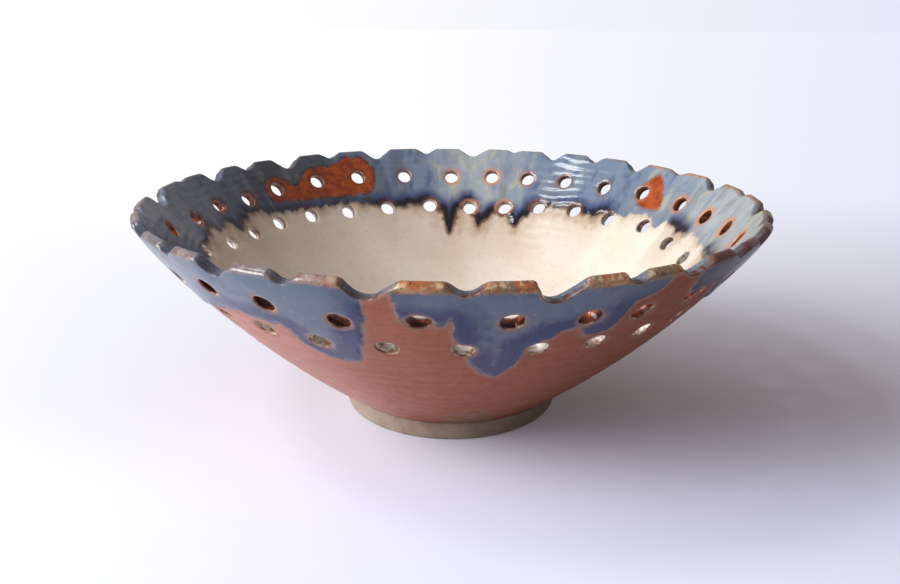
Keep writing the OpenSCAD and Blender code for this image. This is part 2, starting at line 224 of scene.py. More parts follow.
class BowlColours(bpy.types.PropertyGroup):
    slip: colour_prop("Iron slip", "Rust red of the slip outside", 178, 100, 74)
    dark_slip: colour_prop("Dark slip", "Where the slip is thick and dark", 132, 70, 52)
    halo: colour_prop("Halo", "Grey edge where blue meets slip", 156, 134, 124)
    pale_blue: colour_prop("Pale blue", "Thin blue glaze under the lip", 92, 106, 124)
    cobalt: colour_prop("Cobalt", "Blue where the glaze pools", 8, 34, 90)
    slate: colour_prop("Slate", "Blue glaze inside", 112, 128, 150)
    # Shaded and lit copies of the blue inside, for its painted light and shade
    dark_slate: colour_prop("Dark slate", "Blue glaze on the darker side inside", 76, 80, 92)
    pale_slate: colour_prop("Pale slate", "Thin blue glaze on the paler side inside", 162, 172, 176)
    navy: colour_prop("Navy", "Thick edge of the blue inside", 20, 20, 30)
    cream: colour_prop("Cream", "Liner glaze inside", 230, 221, 208)
    specks: colour_prop("Specks", "Iron specks in the liner", 128, 96, 70)
    brick: colour_prop("Brick", "Iron patches inside", 164, 76, 34)
    toast: colour_prop("Toast", "Lip glaze on the lobes", 164, 92, 50)
    # Char also gives the notches' cut faces their painted shade
    char: colour_prop("Char", "Burnt edge of the lip", 42, 28, 22)
    bone: colour_prop("Bone", "Pale glaze breaking over edges", 228, 208, 176)
    clay: colour_prop("Bare clay", "Unglazed foot", 166, 148, 134)


# Small tools

def smooth(low, high, v):
    t = np.clip((v - low) / (high - low), 0, 1)
    return t * t * (3 - 2 * t)


def angle_of(v):
    return math.atan2(v[1], v[0])


def join(*parts):
    return np.concatenate(parts)


def unit(v):
    return v / np.maximum(np.linalg.norm(v, axis=1), 1e-9)[:, None]


def quads(a, b, c, d):
    """Two triangles for each round of four points."""
    return join(np.stack((a, b, c), 1), np.stack((a, c, d), 1))


def face_normals(verts, tris):
    a, b, c = (verts[tris[:, i]] for i in range(3))
    return np.cross(b - a, c - a)


def tree_of(points):
    tree = kdtree.KDTree(len(points))
    for i, p in enumerate(points):
        tree.insert(p, i)
    tree.balance()
    return tree


def nearest(tree, points):
    found = [tree.find(p)[1:] for p in points]
    return np.array([f[1] for f in found]), np.array([f[0] for f in found])


def flat3(x, y):
    return np.stack((x, y, np.zeros(len(x))), 1)


def turned(az, rz):
    """Points in space from azimuths in radians and (radius, height) pairs."""
    return np.stack((rz[:, 0] * np.sin(az), rz[:, 0] * np.cos(az), rz[:, 1]), 1)


def rotated(v, a):
    """Vectors (r, z) turned by angles, against the clock."""
    c, s = np.cos(a), np.sin(a)
    return np.stack((v[:, 0] * c - v[:, 1] * s, v[:, 0] * s + v[:, 1] * c), 1)


def rounding(gap, r):
    """How far a rounded edge has dropped, at a gap from it."""
    d = np.clip(r - gap, 0, r)
    return r - np.sqrt(np.maximum(r * r - d * d, 0))


def ray_to_circle(p, a, c, r):
    """Where rays from p along a first meet the circle round c."""
    d = p - c
    b = (d * a).sum(1)
    return p + a * (-b - np.sqrt(np.maximum(b * b - (d * d).sum(1) + r * r, 0)))[:, None]


class Section:
    """The wall in section, in millimetres, from the same sizes as the part's source."""

    def __init__(self, sizes):
        for name in BowlSizes.__annotations__:
            setattr(self, name, getattr(sizes, name) / MM)
        self.rim_r = self.rim_d / 2
        self.lip_r = self.lip_t / 2
        heel = np.array((self.foot_d / 2 - self.foot_lean, self.foot_h))
        lip_c = np.array((self.rim_r - self.lip_r, self.bowl_h - self.lip_r))
        knee = heel + KNEE_AT * (np.array((self.rim_r, self.bowl_h)) - heel)
        knee_angle = (angle_of(knee - heel) + angle_of(lip_c - knee)) / 2
        inward = np.array((-math.sin(knee_angle), math.cos(knee_angle)))

        def tangent_r(v):
            return v @ v / (2 * (v @ inward))

        self.wall_r = tangent_r(heel - knee)
        self.wall_c = knee + self.wall_r * inward
        self.band_r = tangent_r(lip_c - knee - self.lip_r * inward) + self.lip_r
        self.band_c = knee + self.band_r * inward
        self.heel_end = angle_of(heel - self.wall_c)
        self.knee_end = knee_angle - math.pi / 2
        self.lip_end = angle_of(lip_c - self.band_c)
        self.knee_y = self.wall_r * (self.knee_end - self.heel_end)
        lip_y = self.knee_y + self.band_r * (self.lip_end - self.knee_end)

        inner_knee = knee + self.wall_t * inward
        inner_heel = heel - self.base_t * np.array((math.cos(self.heel_end), math.sin(self.heel_end)))
        floor_z = self.foot_h + self.floor_t
        self.in_wall_r = tangent_r(inner_heel - inner_knee)
        self.in_wall_c = inner_knee + self.in_wall_r * inward
        self.in_band_r = tangent_r(lip_c - inner_knee + self.lip_r * inward) - self.lip_r
        self.in_band_c = inner_knee + self.in_band_r * inward
        rise = self.in_wall_c[1] - floor_z - self.floor_r
        self.floor_c = np.array((self.in_wall_c[0] + math.sqrt(
            (self.in_wall_r - self.floor_r) ** 2 - rise ** 2), floor_z + self.floor_r))
        self.floor_end = angle_of(self.floor_c - self.in_wall_c)

        self.lip_c = lip_c
        self.table_y = np.arange(0, lip_y + 5, 0.2)
        self.table_p, _ = self.outer(self.table_y)
        self.hole_r = HOLE_SHARE * self.hole_d
        # Height of the lip's far end, halfway through its thickness
        self.lobe_top_z = lip_c[1] + (self.lip_r + self.lip_glaze_t) * math.cos(self.lip_end)
        self.top_y = self.y_at_z(self.lobe_top_z - self.lip_r * -math.sin(self.lip_end))
        self.rows_y = self.y_at_z(self.bowl_h - self.lower_drop) - 0.8 * self.hole_d

    def outer(self, y):
        """Points and outward normals of the clay's outer face, y up the face from the heel."""
        low = y < self.knee_y
        a = np.where(low, self.heel_end + y / self.wall_r,
                     self.knee_end + (y - self.knee_y) / self.band_r)
        n = np.stack((np.cos(a), np.sin(a)), 1)
        c = np.where(low[:, None], self.wall_c, self.band_c)
        return c + np.where(low, self.wall_r, self.band_r)[:, None] * n, n

    def inner(self, p, a):
        """Where rays from p along a meet the clay's inner face, and its normals there."""
        q = ray_to_circle(p, a, self.in_band_c, self.in_band_r)
        c = np.tile(self.in_band_c, (len(p), 1))
        low = np.arctan2(q[:, 1] - c[:, 1], q[:, 0] - c[:, 0]) < self.knee_end
        q[low] = ray_to_circle(p[low], a[low], self.in_wall_c, self.in_wall_r)
        c[low] = self.in_wall_c
        return q, unit(c - q)

    def inner_low(self, w, start):
        """The inner face below the rows: w along it from the angle start, to the axis."""
        turn = (start - self.floor_end) * self.in_wall_r
        bend = turn + (self.floor_end + math.pi / 2) * self.floor_r
        a = np.where(w < turn, start - w / self.in_wall_r, self.floor_end - (w - turn) / self.floor_r)
        a = np.where(w < bend, a, -math.pi / 2)
        c = np.where((w < turn)[:, None], self.in_wall_c, self.floor_c)
        r = np.where(w < turn, self.in_wall_r, self.floor_r)
        n = np.stack((np.cos(a), np.sin(a)), 1)
        p = c + r[:, None] * n
        p[:, 0] -= np.maximum(w - bend, 0)
        return p, -n, bend + self.floor_c[0]

    def y_at_z(self, z):
        return np.interp(z, self.table_p[:, 1], self.table_y)

    def y_at_r(self, r):
        return np.interp(r, self.table_p[:, 0], self.table_y)

    def tilt(self, y, notch):
        """Angle by which the way through the wall is flatter than square to it.

        The rows of holes are drilled flatter, and the notches are cut level.
        """
        rows = (smooth(self.rows_y - 6, self.rows_y - 1, y)
                * (1 - smooth(self.top_y - 11.5, self.top_y - 8, y)))
        notched = notch * smooth(self.top_y - 14, self.top_y - 8, y)
        return DRILL_TILT * rows * (1 - notched) - self.lip_end * notched


# Outlines on the wall

def lobe_azimuth(k):
    return PITCH * (k + LOBE_DRIFT[k % COUNT])


def gap_azimuth(k):
    after = lobe_azimuth(k + 1) if k < COUNT - 1 else lobe_azimuth(0) + 360
    return (lobe_azimuth(k) + after) / 2


def half_notch(half_w, depth, bottom_r, corner_r):
    """Half of a notch from the middle of its bottom over the lobe's corner, as (across, down)."""
    reach = (half_w, depth - bottom_r)
    side = math.asin(bottom_r / math.hypot(*reach)) + angle_of(reach)
    tangent = corner_r * math.tan(side / 2)
    bottom = [(bottom_r * math.cos(a), depth - bottom_r - bottom_r * math.sin(a))
              for a in np.linspace(-math.pi / 2, side - math.pi / 2, 24)]
    corner = [(half_w + tangent + corner_r * math.cos(a), corner_r - corner_r * math.sin(a))
              for a in np.linspace(side + math.pi / 2, math.pi / 2, 16)]
    return np.array(bottom + corner)


def rim_outline(sec):
    """The rim's outline over one turn from the seam: azimuth, y up the face, notch share."""
    rows = [(SEAM, 0.0)]
    to_degrees = math.degrees(1 / sec.lip_c[0])
    for k in sorted(range(COUNT), key=lambda k: (gap_azimuth(k) - SEAM) % 360):
        centre = SEAM + (gap_azimuth(k) - SEAM) % 360
        width, depth = (sec.shallow_w, sec.shallow_h) if k % 2 else (sec.deep_w, sec.deep_h)
        w = NOTCHES[k][0] * width
        depth = NOTCHES[k][1] * depth + sec.lip_glaze_t / 2
        lean = NOTCHES[k][2] * w
        squeeze = 1 - (sec.bowl_h + 1.5 * sec.lip_glaze_t - sec.lobe_top_z) / depth
        bottom_r, corner_r = 0.3 * w, 0.6 * sec.lobe_round
        before = half_notch(w / 2 + lean, depth, bottom_r, corner_r)[::-1]
        after = half_notch(w / 2 - lean, depth, bottom_r, corner_r)[1:]
        rows += [(centre - (u - lean) * to_degrees, v * squeeze) for u, v in before]
        rows += [(centre + (u + lean) * to_degrees, v * squeeze) for u, v in after]
    rows.append((SEAM + 360, 0.0))
    rows = np.array(rows)
    az, v = rows[join([True], np.diff(rows[:, 0]) > 1e-4)].T
    fine = [az[0]]
    for a, b, va, vb in zip(az[:-1], az[1:], v[:-1], v[1:]):
        n = max(1, int(math.hypot((b - a) / to_degrees, vb - va) / 0.12))
        fine.extend(a + (b - a) * (i + 1) / n for i in range(n))
    v = np.interp(fine, az, v)
    notch = smooth(0, 2, v)
    lean_out = -math.sin(sec.lip_end)
    z = sec.lobe_top_z - v + notch * lean_out * sec.lip_glaze_t - (1 - notch) * lean_out * sec.lip_r
    a = np.radians(fine)
    # The fired lip dips a little, here more and there less
    dip = 0.26 + 0.14 * (1 + 0.5 * np.sin(7 * a + 0.6) + 0.5 * np.sin(17 * a + 2.1))
    return a, sec.y_at_z(z) - dip, notch


def run_line(table):
    """A run glaze's lower edge over one turn, uneven as glaze runs: azimuth, share."""
    az, share = np.array(table + ((table[0][0] + 360, table[0][1]),)).T
    fine = np.arange(az[0], az[0] + 360, 0.15)
    i = np.searchsorted(az, fine, side="right") - 1
    t = (fine - az[i]) / (az[i + 1] - az[i])
    s = share[i] + (share[i + 1] - share[i]) * (1 - np.cos(math.pi * t)) / 2
    a = np.radians(fine)
    return fine, s + 0.0035 * (np.sin(83 * a + 1) + 0.6 * np.sin(139 * a + 2.2) + 0.4 * np.sin(231 * a))


def round_the_rim(az, table):
    """Values of a table by azimuth, smoothed between its entries."""
    a, v = np.array(table).T
    az = az % 360
    i = np.searchsorted(a, az, side="right") - 1
    a, v = np.append(a, 360 + a[0]), np.append(v, v[0])
    return v[i] + (v[i + 1] - v[i]) * smooth(a[i], a[i + 1], az)


def closed_line(points):
    """A closed outline from a few points, with its corners eased and its sides uneven."""
    p = np.array(points + points[:1], float)
    q = []
    for a, b in zip(p[:-1], p[1:]):
        n = max(2, int(np.linalg.norm((b - a) * (1.8, 100)) / 0.3))
        q.extend(a + (b - a) * i / n for i in range(n))
    q = np.array(q)
    for _ in range(4):
        q = (np.roll(q, 1, 0) + 2 * q + np.roll(q, -1, 0)) / 4
    t = np.linspace(0, 2 * math.pi, len(q), endpoint=False)
    q[:, 1] += 0.0025 * (np.sin(19 * t) + 0.7 * np.sin(41 * t + 1))
    q[:, 0] += 0.1 * (np.sin(17 * t + 2) + 0.7 * np.sin(37 * t))
    return q


def in_outline(az, share, outline):
    """Which points lie inside a closed outline."""
    inside = np.zeros(len(az), bool)
    for (a0, s0), (a1, s1) in zip(outline, np.roll(outline, -1, 0)):
        if s0 != s1:
            inside ^= ((s0 > share) != (s1 > share)) & (az < (a1 - a0) * (share - s0) / (s1 - s0) + a0)
    return inside


# The glazed skin

def lip_edge(notch):
    """Radius of the lip's rounded edge, on a lobe and in a notch."""
    return EDGE_LOBE + (EDGE_NOTCH - EDGE_LOBE) * notch


def spread(step, y0, y1, x0, width):
    """A grid of staggered points."""
    for j, y in enumerate(np.arange(y0, y1, step * 0.866)):
        for x in np.arange(x0 + (j % 2) * step / 2, x0 + width, step):
            yield x, y


def wall_net(sec, fine):
    """The band of holes and notches laid flat: points, triangles and gaps to its edges."""
    R = sec.rim_r
    x0, width = math.radians(SEAM) * R, 2 * math.pi * R
    base_y = sec.y_at_z(sec.foot_h + BAND_FROM * (sec.bowl_h - sec.foot_h))
    step = 1.9 if fine else 3.2
    xy, facts = [], []

    def add(x, y, share=9.0, rim=-1.0, hole=-1.0, which=-1):
        xy.append((x, y))
        facts.append((share, rim, hole, which))
        return len(xy) - 1

    def to_x(az):
        return math.radians(1) * R * (SEAM + (np.asarray(az) - SEAM) % 360)

    def within(x, margin):
        return x0 + margin < x < x0 + width - margin

    # The rim's outline, finer in the notches, and the rings that follow it
    az, rim_y, notch = rim_outline(sec)
    rim_x = az * R
    rim_tree = tree_of(flat3(rim_x, rim_y))
    along = join([0], np.cumsum(np.hypot(np.diff(rim_x), np.diff(rim_y))))
    want = [0.0]
    while want[-1] < along[-1] - 0.6:
        bent = np.interp(want[-1], along, notch) > 0.001
        want.append(want[-1] + (0.95 - 0.35 * bent) * (1 if fine else 1.5))
    want[-1] = along[-1]
    ox, oy, on = (np.interp(want, along, v) for v in (rim_x, rim_y, notch))
    tx, ty = np.gradient(ox), np.gradient(oy)
    norm = np.hypot(tx, ty)
    tx, ty = tx / norm, ty / norm
    outline = [add(x, y, 0.0, 0.0) for x, y in zip(ox, oy)]
    for share in RIM_RINGS if fine else (0.2, 0.6, 1.1):
        last = (0, 0)  # far from all of them
        for i in range(1, len(ox) - 1):
            d = share * lip_edge(on[i])
            x, y = ox[i] + ty[i] * d, oy[i] - tx[i] * d
            if (within(x, 0.3) and math.dist((x, y), last) >= 0.4
                    and rim_tree.find((x, y, 0))[2] >= 0.96 * d):
                add(x, y, share, d)
                last = (x, y)

    # Holes, each a little out of round, and the rings round them
    holes = []
    for k in range(COUNT):
        for az_k, drop, lift in zip((lobe_azimuth(k), gap_azimuth(k)),
                                    (sec.upper_drop, sec.lower_drop), HOLE_LIFT[k]):
            y = float(sec.y_at_z(sec.bowl_h - drop + sec.hole_d * lift))
            r = float(np.interp(y, sec.table_y, sec.table_p[:, 0]))
            holes.append((float(to_x(az_k)), y, R / r))
    rng = random.Random(7)
    around = 26 if fine else 18
    loops = []
    hole_rings = HOLE_RINGS if fine else (0, 0.2, 0.6)
    for h, (cx, cy, stretch) in enumerate(holes):
        p1, p2 = rng.uniform(0, 6.28), rng.uniform(0, 6.28)
        for ring, d in enumerate(hole_rings):
            ids = []
            for i in range(around):
                a = 2 * math.pi * (i + 0.5 * (ring % 2)) / around
                r = sec.hole_r * (1 + 0.022 * math.sin(2 * a + p1) + 0.014 * math.sin(3 * a + p2)) + d
                ids.append(add(cx + r * stretch * math.cos(a), cy + r * math.sin(a),
                               hole=d, which=-1 if ring else h))
            if ring == 0:
                loops.append(ids)
    hole_tree = tree_of([(cx, cy, 0) for cx, cy, _ in holes])

    def hole_room(x, y):
        near = (holes[h] for _, h, _ in hole_tree.find_n((x, y, 0), 3))
        return min(FAR, *(math.hypot((x - cx) / stretch, y - cy) - sec.hole_r
                          for cx, cy, stretch in near))

    def rim_room(x, y):
        _, i, d = rim_tree.find((x, y, 0))
        return -1.0 if y > np.interp(x, rim_x, rim_y) else d - 1.6 * lip_edge(notch[i])

    # The seam's two sides and the bottom row, shared with the rings below
    top_y = rim_y[0]
    seam_y = np.linspace(base_y, top_y, int((top_y - base_y) / (1.5 if fine else 3)) + 1)[:-1]
    left = [add(x0, y) for y in seam_y]
    right = [add(x0 + width, y) for y in seam_y]
    base_x = x0 + width * np.arange(1, AROUND) / AROUND
    base = [left[0]] + [add(x, base_y) for x in base_x] + [right[0]]

    # Points along the edges of the run glazes and patches, and a finer grid beside them
    if fine:
        az_o, share_o = run_line(OUTER_RUN)
        edges = [(to_x(az_o), sec.y_at_r(share_o * R))]
        y_all = np.arange(base_y, sec.top_y + 1, 0.2)
        p, n = sec.outer(y_all)
        q, _ = sec.inner(p, -rotated(n, sec.tilt(y_all, 0)))
        for az_i, share_i in (run_line(INNER_RUN), *(closed_line(o).T for o in PATCHES)):
            edges.append((to_x(az_i), np.interp(share_i * R, q[:, 0], y_all)))
        edge_tree = tree_of(flat3(*np.concatenate(edges, 1)))
        cells = {}
        cell = 0.42

        def free(x, y):
            gx, gy = int(x // cell), int(y // cell)
            for i in (-1, 0, 1):
                for j in (-1, 0, 1):
                    if any(math.hypot(px - x, py - y) < cell for px, py in cells.get((gx + i, gy + j), ())):
                        return False
            cells.setdefault((gx, gy), []).append((x, y))
            return True

        for line in edges:
            last = (0, 0)
            for x, y in zip(*line):
                if (math.dist((x, y), last) >= 0.6 and y > base_y + 0.7 and within(x, 0.4)
                        and rim_room(x, y) > 0.3 and hole_room(x, y) > 1.9 and free(x, y)):
                    add(x, y)
                    last = (x, y)
        for x, y in spread(0.95, base_y + 0.9, sec.top_y, x0, width):
            if (0.55 < edge_tree.find((x, y, 0))[2] < 1.7 and within(x, 0.6)
                    and rim_room(x, y) > 0.45 and hole_room(x, y) > 2.1 and free(x, y)):
                add(x, y)
    for x, y in spread(step, base_y + 0.7 * step, sec.top_y, x0, width):
        if (within(x, 0.6 * step) and not (fine and edge_tree.find((x, y, 0))[2] < 1.9)
                and rim_room(x, y) > 0.4 * step and hole_room(x, y) > hole_rings[-1] + 0.45 * step):
            add(x, y)

    # Triangles, without the ones inside holes and notches
    lines = [outline, base, left + [outline[0]], right + [outline[-1]]]
    lines += [ids + ids[:1] for ids in loops]
    pairs = [pair for line in lines for pair in zip(line[:-1], line[1:])]
    _, _, faces, origin, _, _ = geometry.delaunay_2d_cdt([Vector(p) for p in xy], pairs, [], 0, 1e-6)
    if not all(origin):
        raise RuntimeError("The wall net gained a point where two of its edges cross")
    tris = np.array([ids[0] for ids in origin])[np.array(faces)]
    xy = np.array(xy)
    share, rim_gap, hole_gap, which = np.array(facts).T
    h = which[tris]
    in_hole = (h[:, 0] >= 0) & (h[:, 0] == h[:, 1]) & (h[:, 0] == h[:, 2])
    middle = xy[tris].mean(1)
    above = middle[:, 1] > np.interp(middle[:, 0], ox, oy)
    tris = tris[~in_hole & ~above]
    tris = np.where((face_normals(xy, tris) > 0)[:, None], tris, tris[:, ::-1])

    # The seam's right side becomes its left side
    same = np.arange(len(xy))
    same[right] = left
    same[outline[-1]] = outline[0]
    gap, at = nearest(rim_tree, flat3(*xy.T))
    room = np.array([hole_room(x, y) for x, y in xy])
    return SimpleNamespace(
        xy=xy, tris=same[tris], outline=same[outline], base=same[base], loops=loops, base_y=base_y,
        rim_share=share, rim_gap=np.where(rim_gap >= 0, rim_gap, gap),
        hole_gap=np.where(hole_gap >= 0, hole_gap, room),
        edge_r=lip_edge(notch[at]), near_notch=notch[at], notch=np.interp(xy[:, 0], rim_x, notch))


def signed_run(side, line, face):
    """Distance on the face from a run glaze's edge, positive inside the glaze."""
    a, share = line
    d, _ = nearest(tree_of(turned(np.radians(a), face(share))), turned(side.az, side.clay))
    limit = np.interp(a[0] + (np.degrees(side.az) - a[0]) % 360, a, share)
    return np.where(side.clay[:, 0] > limit * face.rim_r, d, -d)


class Face:
    """Finds points of the clay's outer or inner face by share of the rim's radius."""

    def __init__(self, sec, points):
        self.rim_r = sec.rim_r
        self.r, self.z = points[np.argsort(points[:, 0])].T

    def __call__(self, share):
        r = np.clip(share * self.rim_r, self.r[0], self.r[-1])
        return np.stack((r, np.interp(r, self.r, self.z)), 1)


def eased(sec, side, h):
    """A glaze's height made thin at the holes and level with the lip glaze at the rim."""
    h = h - 0.1 * (1 - smooth(0.3, 1.6, side.hole))
    return h + (sec.lip_glaze_t - 0.06 - h) * (1 - smooth(1.4, 3.2, side.rim))


def outer_relief(sec, side, lively):
    """Height of the finished surface over the clay outside, in mm."""
    h = np.full(len(side.az), sec.slip_t)
    if lively:
        az, z, run = side.az, side.clay[:, 1], side.run
        thick = sec.blue_t * smooth(0, 1.1, run) + 0.14 * np.exp(-((run - 1.3) / 0.8) ** 2) * (run > 0)
        rings = 0.06 * np.sin(2 * math.pi * z / 3.7 + 0.5 * np.sin(2 * az)) * smooth(0, 3, -run)
        wave = (0.05 * np.sin(5 * az + 0.11 * z) + 0.04 * np.sin(9 * az - 0.2 * z + 2)
                + 0.03 * np.sin(23 * az + 0.4 * z + 1))
        h = h + thick + (rings + wave) * smooth(1, 9, side.rim) * smooth(0, 2, z - sec.foot_h)
    return eased(sec, side, h)


def inner_relief(sec, side, lively):
    """Height of the finished surface over the clay inside, in mm."""
    h = np.full(len(side.az), sec.liner_t)
    if lively:
        az, (r, z) = side.az, side.clay.T
        blue = np.minimum(side.run, -side.patch)
        thick = (0.65 * sec.blue_t * smooth(0, 1.6, blue)
                 + 0.05 * np.exp(-(blue - 1.8) ** 2) * (blue > 0))
        iron = (sec.patch_t - 0.03) * smooth(0, 0.8, side.patch)
        fade = smooth(1, 9, side.rim)
        rings = 0.05 * np.sin(2 * math.pi * np.hypot(r, z) / 5.3) * fade
        wave = (0.05 * np.sin(4 * az + 0.09 * z + 1) + 0.04 * np.sin(11 * az + 0.15 * z)
                ) * fade * smooth(10, 40, r)
        h = h + thick + iron + rings + wave
    return eased(sec, side, h)


def build_skin(sec, fine):
    """The finished surface of the bowl: points, triangles, pieces, marks and normals, in mm."""
    net = wall_net(sec, fine)
    az, y = net.xy[:, 0] / sec.rim_r, net.xy[:, 1]
    clay_out, n_out = sec.outer(y)
    way = -rotated(n_out, sec.tilt(y, net.notch))
    clay_in, n_in = sec.inner(clay_out, way)
    n_net = len(az)

    def side(low_az, clay, low_clay, n, low_n):
        """The band's points, followed by those of the rings below it."""
        far = np.full(len(low_az), FAR)
        return SimpleNamespace(
            az=join(az, low_az), clay=join(clay, low_clay), n=join(n, low_n),
            rim=join(net.rim_gap, far), hole=join(net.hole_gap, far),
            run=np.full(n_net + len(far), -FAR), patch=np.full(n_net + len(far), -FAR),
            notch=join(net.near_notch * (1 - smooth(3, 6, net.rim_gap)), np.zeros(len(far))))

    # Rings below the band, outside to the heel and inside to the middle of the floor
    ring_az = math.radians(SEAM) + 2 * math.pi * np.arange(AROUND) / AROUND
    rows_out = np.linspace(net.base_y, 0, int(net.base_y / (1.25 if fine else 4)) + 1)[1:]
    start_in, _ = sec.inner(sec.outer(np.array([net.base_y]))[0], way[net.base[:1]])
    start = angle_of(start_in[0] - sec.in_wall_c)
    length = sec.inner_low(np.zeros(1), start)[2]
    rows_in = np.linspace(0, length, int(length / (1.6 if fine else 4)) + 1)[1:-1]
    low_p, low_n = sec.outer(np.repeat(rows_out, AROUND))
    out = side(np.tile(ring_az, len(rows_out)), clay_out, low_p, n_out, low_n)
    low_p, low_n, _ = sec.inner_low(np.append(np.repeat(rows_in, AROUND), length), start)
    ins = side(np.append(np.tile(ring_az, len(rows_in)), 0.0), clay_in, low_p, n_in, low_n)
    n_outer, n_inner = len(out.az), len(ins.az)

    if fine:
        y_all = np.arange(0, sec.top_y + 1, 0.25)
        p, n = sec.outer(y_all)
        band = y_all >= net.base_y
        q, _ = sec.inner(p[band], -n[band])
        inner_face = Face(sec, join(q, sec.inner_low(np.linspace(0, length, 300), start)[0]))
        out.run = signed_run(out, run_line(OUTER_RUN), Face(sec, p))
        ins.run = signed_run(ins, run_line(INNER_RUN), inner_face)
        for outline in PATCHES:
            line = closed_line(outline)
            d, _ = nearest(tree_of(turned(np.radians(line[:, 0]), inner_face(line[:, 1]))),
                           turned(ins.az, ins.clay))
            mid = np.mean([p[0] for p in outline])
            deg = mid - 180 + (np.degrees(ins.az) - mid + 180) % 360
            inside = in_outline(deg, ins.clay[:, 0] / sec.rim_r, line)
            ins.patch = np.maximum(ins.patch, np.where(inside, d, -d))

    drop = (rounding(net.rim_gap, net.edge_r) + rounding(net.hole_gap, EDGE_HOLE))[:, None]
    out_rz = out.clay + out.n * outer_relief(sec, out, fine)[:, None]
    in_rz = ins.clay + ins.n * inner_relief(sec, ins, fine)[:, None]
    out_rz[:n_net] += way * drop
    in_rz[:n_net] -= way * drop
    # The lip's two rounded edges never cross
    tight = ((in_rz[:n_net] - out_rz[:n_net]) * way).sum(1) < 0.05
    middle = (out_rz[:n_net] + in_rz[:n_net]) / 2
    out_rz[:n_net][tight] = (middle - way * 0.025)[tight]
    in_rz[:n_net][tight] = (middle + way * 0.025)[tight]
    verts = join(turned(out.az, out_rz), turned(ins.az, in_rz))
    tris, kinds = [], []

    def take(t, kind):
        tris.append(t)
        kinds.append(np.broadcast_to(kind, len(t)))

    # The band outside and inside
    lip = (net.rim_share[net.tris] <= RIM_RINGS[-1]).all(1)
    run = out.run[net.tris].mean(1)
    take(net.tris[:, ::-1], np.where(lip, LIP, np.where(run > 0, BLUE_OUT, SLIP)))
    run, patched = ins.run[net.tris].mean(1), ins.patch[net.tris].mean(1)
    take(net.tris + n_outer,
         np.where(lip, LIP, np.where(patched > 0, PATCH, np.where(run > 0, BLUE_IN, LINER))))

    def rings(here, offset, count, flip, kind):
        """Rows of faces from the points here down, and the last row's points."""
        for there in offset + np.arange(count * AROUND).reshape(count, AROUND):
            row = quads(here, np.roll(here, -1), np.roll(there, -1), there)
            take(row[:, ::flip], kind)
            here = there
        return here

    base = net.base[:-1]
    heel = rings(base, n_net, len(rows_out), 1, SLIP)
    last = rings(base + n_outer, n_outer + n_net, len(rows_in), -1, LINER)
    take(np.stack((np.roll(last, -1), last, np.full(AROUND, n_outer + n_inner - 1)), 1), LINER)

    # Walls of the holes, with a ring halfway, and the rim's edge
    loops = np.array(net.loops)
    mids = n_outer + n_inner + np.arange(loops.size).reshape(loops.shape)
    for ids, mid in zip(loops, mids):
        for a, b, kind in ((ids, mid, SLIP), (mid, ids + n_outer, LINER)):
            a2, b2 = np.roll(a, -1), np.roll(b, -1)
            take(join(np.stack((a, b2, a2), 1), np.stack((a, b, b2), 1)), kind)
    a, a2 = net.outline[:-1], net.outline[1:]
    take(quads(a2, a, a + n_outer, a2 + n_outer), LIP)

    half = loops.ravel()
    verts = join(verts, (verts[half] + verts[half + n_outer]) / 2)
    n_mid = len(half)
    marks = {
        "rim_gap": join(out.rim, ins.rim, out.rim[half]),
        "hole_gap": join(out.hole, ins.hole, np.zeros(n_mid)),
        "run_gap": join(out.run, ins.run, (out.run[half] + ins.run[half]) / 2),
        "patch_gap": join(out.patch, ins.patch, out.patch[half]),
        "bore": np.repeat((0, 1, 0.5), (n_outer, n_inner, n_mid)),
        "notch": join(out.notch, ins.notch, np.zeros(n_mid)),
    }
    everywhere = np.degrees(join(out.az, ins.az, out.az[half]))
    for key, table in (("toast", LIP_TOAST), ("scorch", LIP_SCORCH_AND_SHADE), ("pale", INNER_LIGHT_AND_SHADE),
                       ("edge", INNER_EDGE), ("dusk", OUTER_PAINTED_SHADE)):
        marks[key] = round_the_rim(everywhere, table)

    # One normal for each point of the whole skin, so that pieces meet without a line
    tris = join(*tris)
    across = face_normals(verts, tris)
    n = np.zeros_like(verts)
    for i in range(3):
        np.add.at(n, tris[:, i], across)
    return SimpleNamespace(verts=verts, tris=tris, kinds=join(*kinds), heel=heel, marks=marks,
                           normals=unit(n))


_kept = {}  # the skins made so far, the fine one and the plain one


def bowl_skin(fine=True):
    if fine not in _kept:
        _kept[fine] = build_skin(Section(bpy.context.scene.bowl_sizes), fine)
    return _kept[fine]


def open_edges(tris):
    """Edges that belong to one triangle, in that triangle's order."""
    edges = join(tris[:, [0, 1]], tris[:, [1, 2]], tris[:, [2, 0]])
    key = np.sort(edges, 1).astype(np.int64)
    _, first, count = np.unique(key[:, 0] * 4000000 + key[:, 1], return_index=True, return_counts=True)
    return edges[first[count == 1]]


def make_mesh(name, verts, tris, loop_normals=None, marks=None):
    mesh = bpy.data.meshes.new(name)
    mesh.vertices.add(len(verts))
    mesh.vertices.foreach_set("co", (verts * MM).astype(np.float32).ravel())
    mesh.loops.add(3 * len(tris))
    mesh.loops.foreach_set("vertex_index", tris.astype(np.int32).ravel())
    mesh.polygons.add(len(tris))
    mesh.polygons.foreach_set("loop_start", np.arange(0, 3 * len(tris), 3, dtype=np.int32))
    mesh.polygons.foreach_set("use_smooth", np.ones(len(tris), bool))
    for key, values in (marks or {}).items():
        layer = mesh.attributes.new(key, "FLOAT", "POINT")
        layer.data.foreach_set("value", values.astype(np.float32))
    mesh.update(calc_edges=True)
    if loop_normals is not None:
        mesh.normals_split_custom_set(loop_normals.astype(np.float32).tolist())
    obj = bpy.data.objects.new(name, mesh)
    bpy.context.scene.collection.objects.link(obj)
    return obj


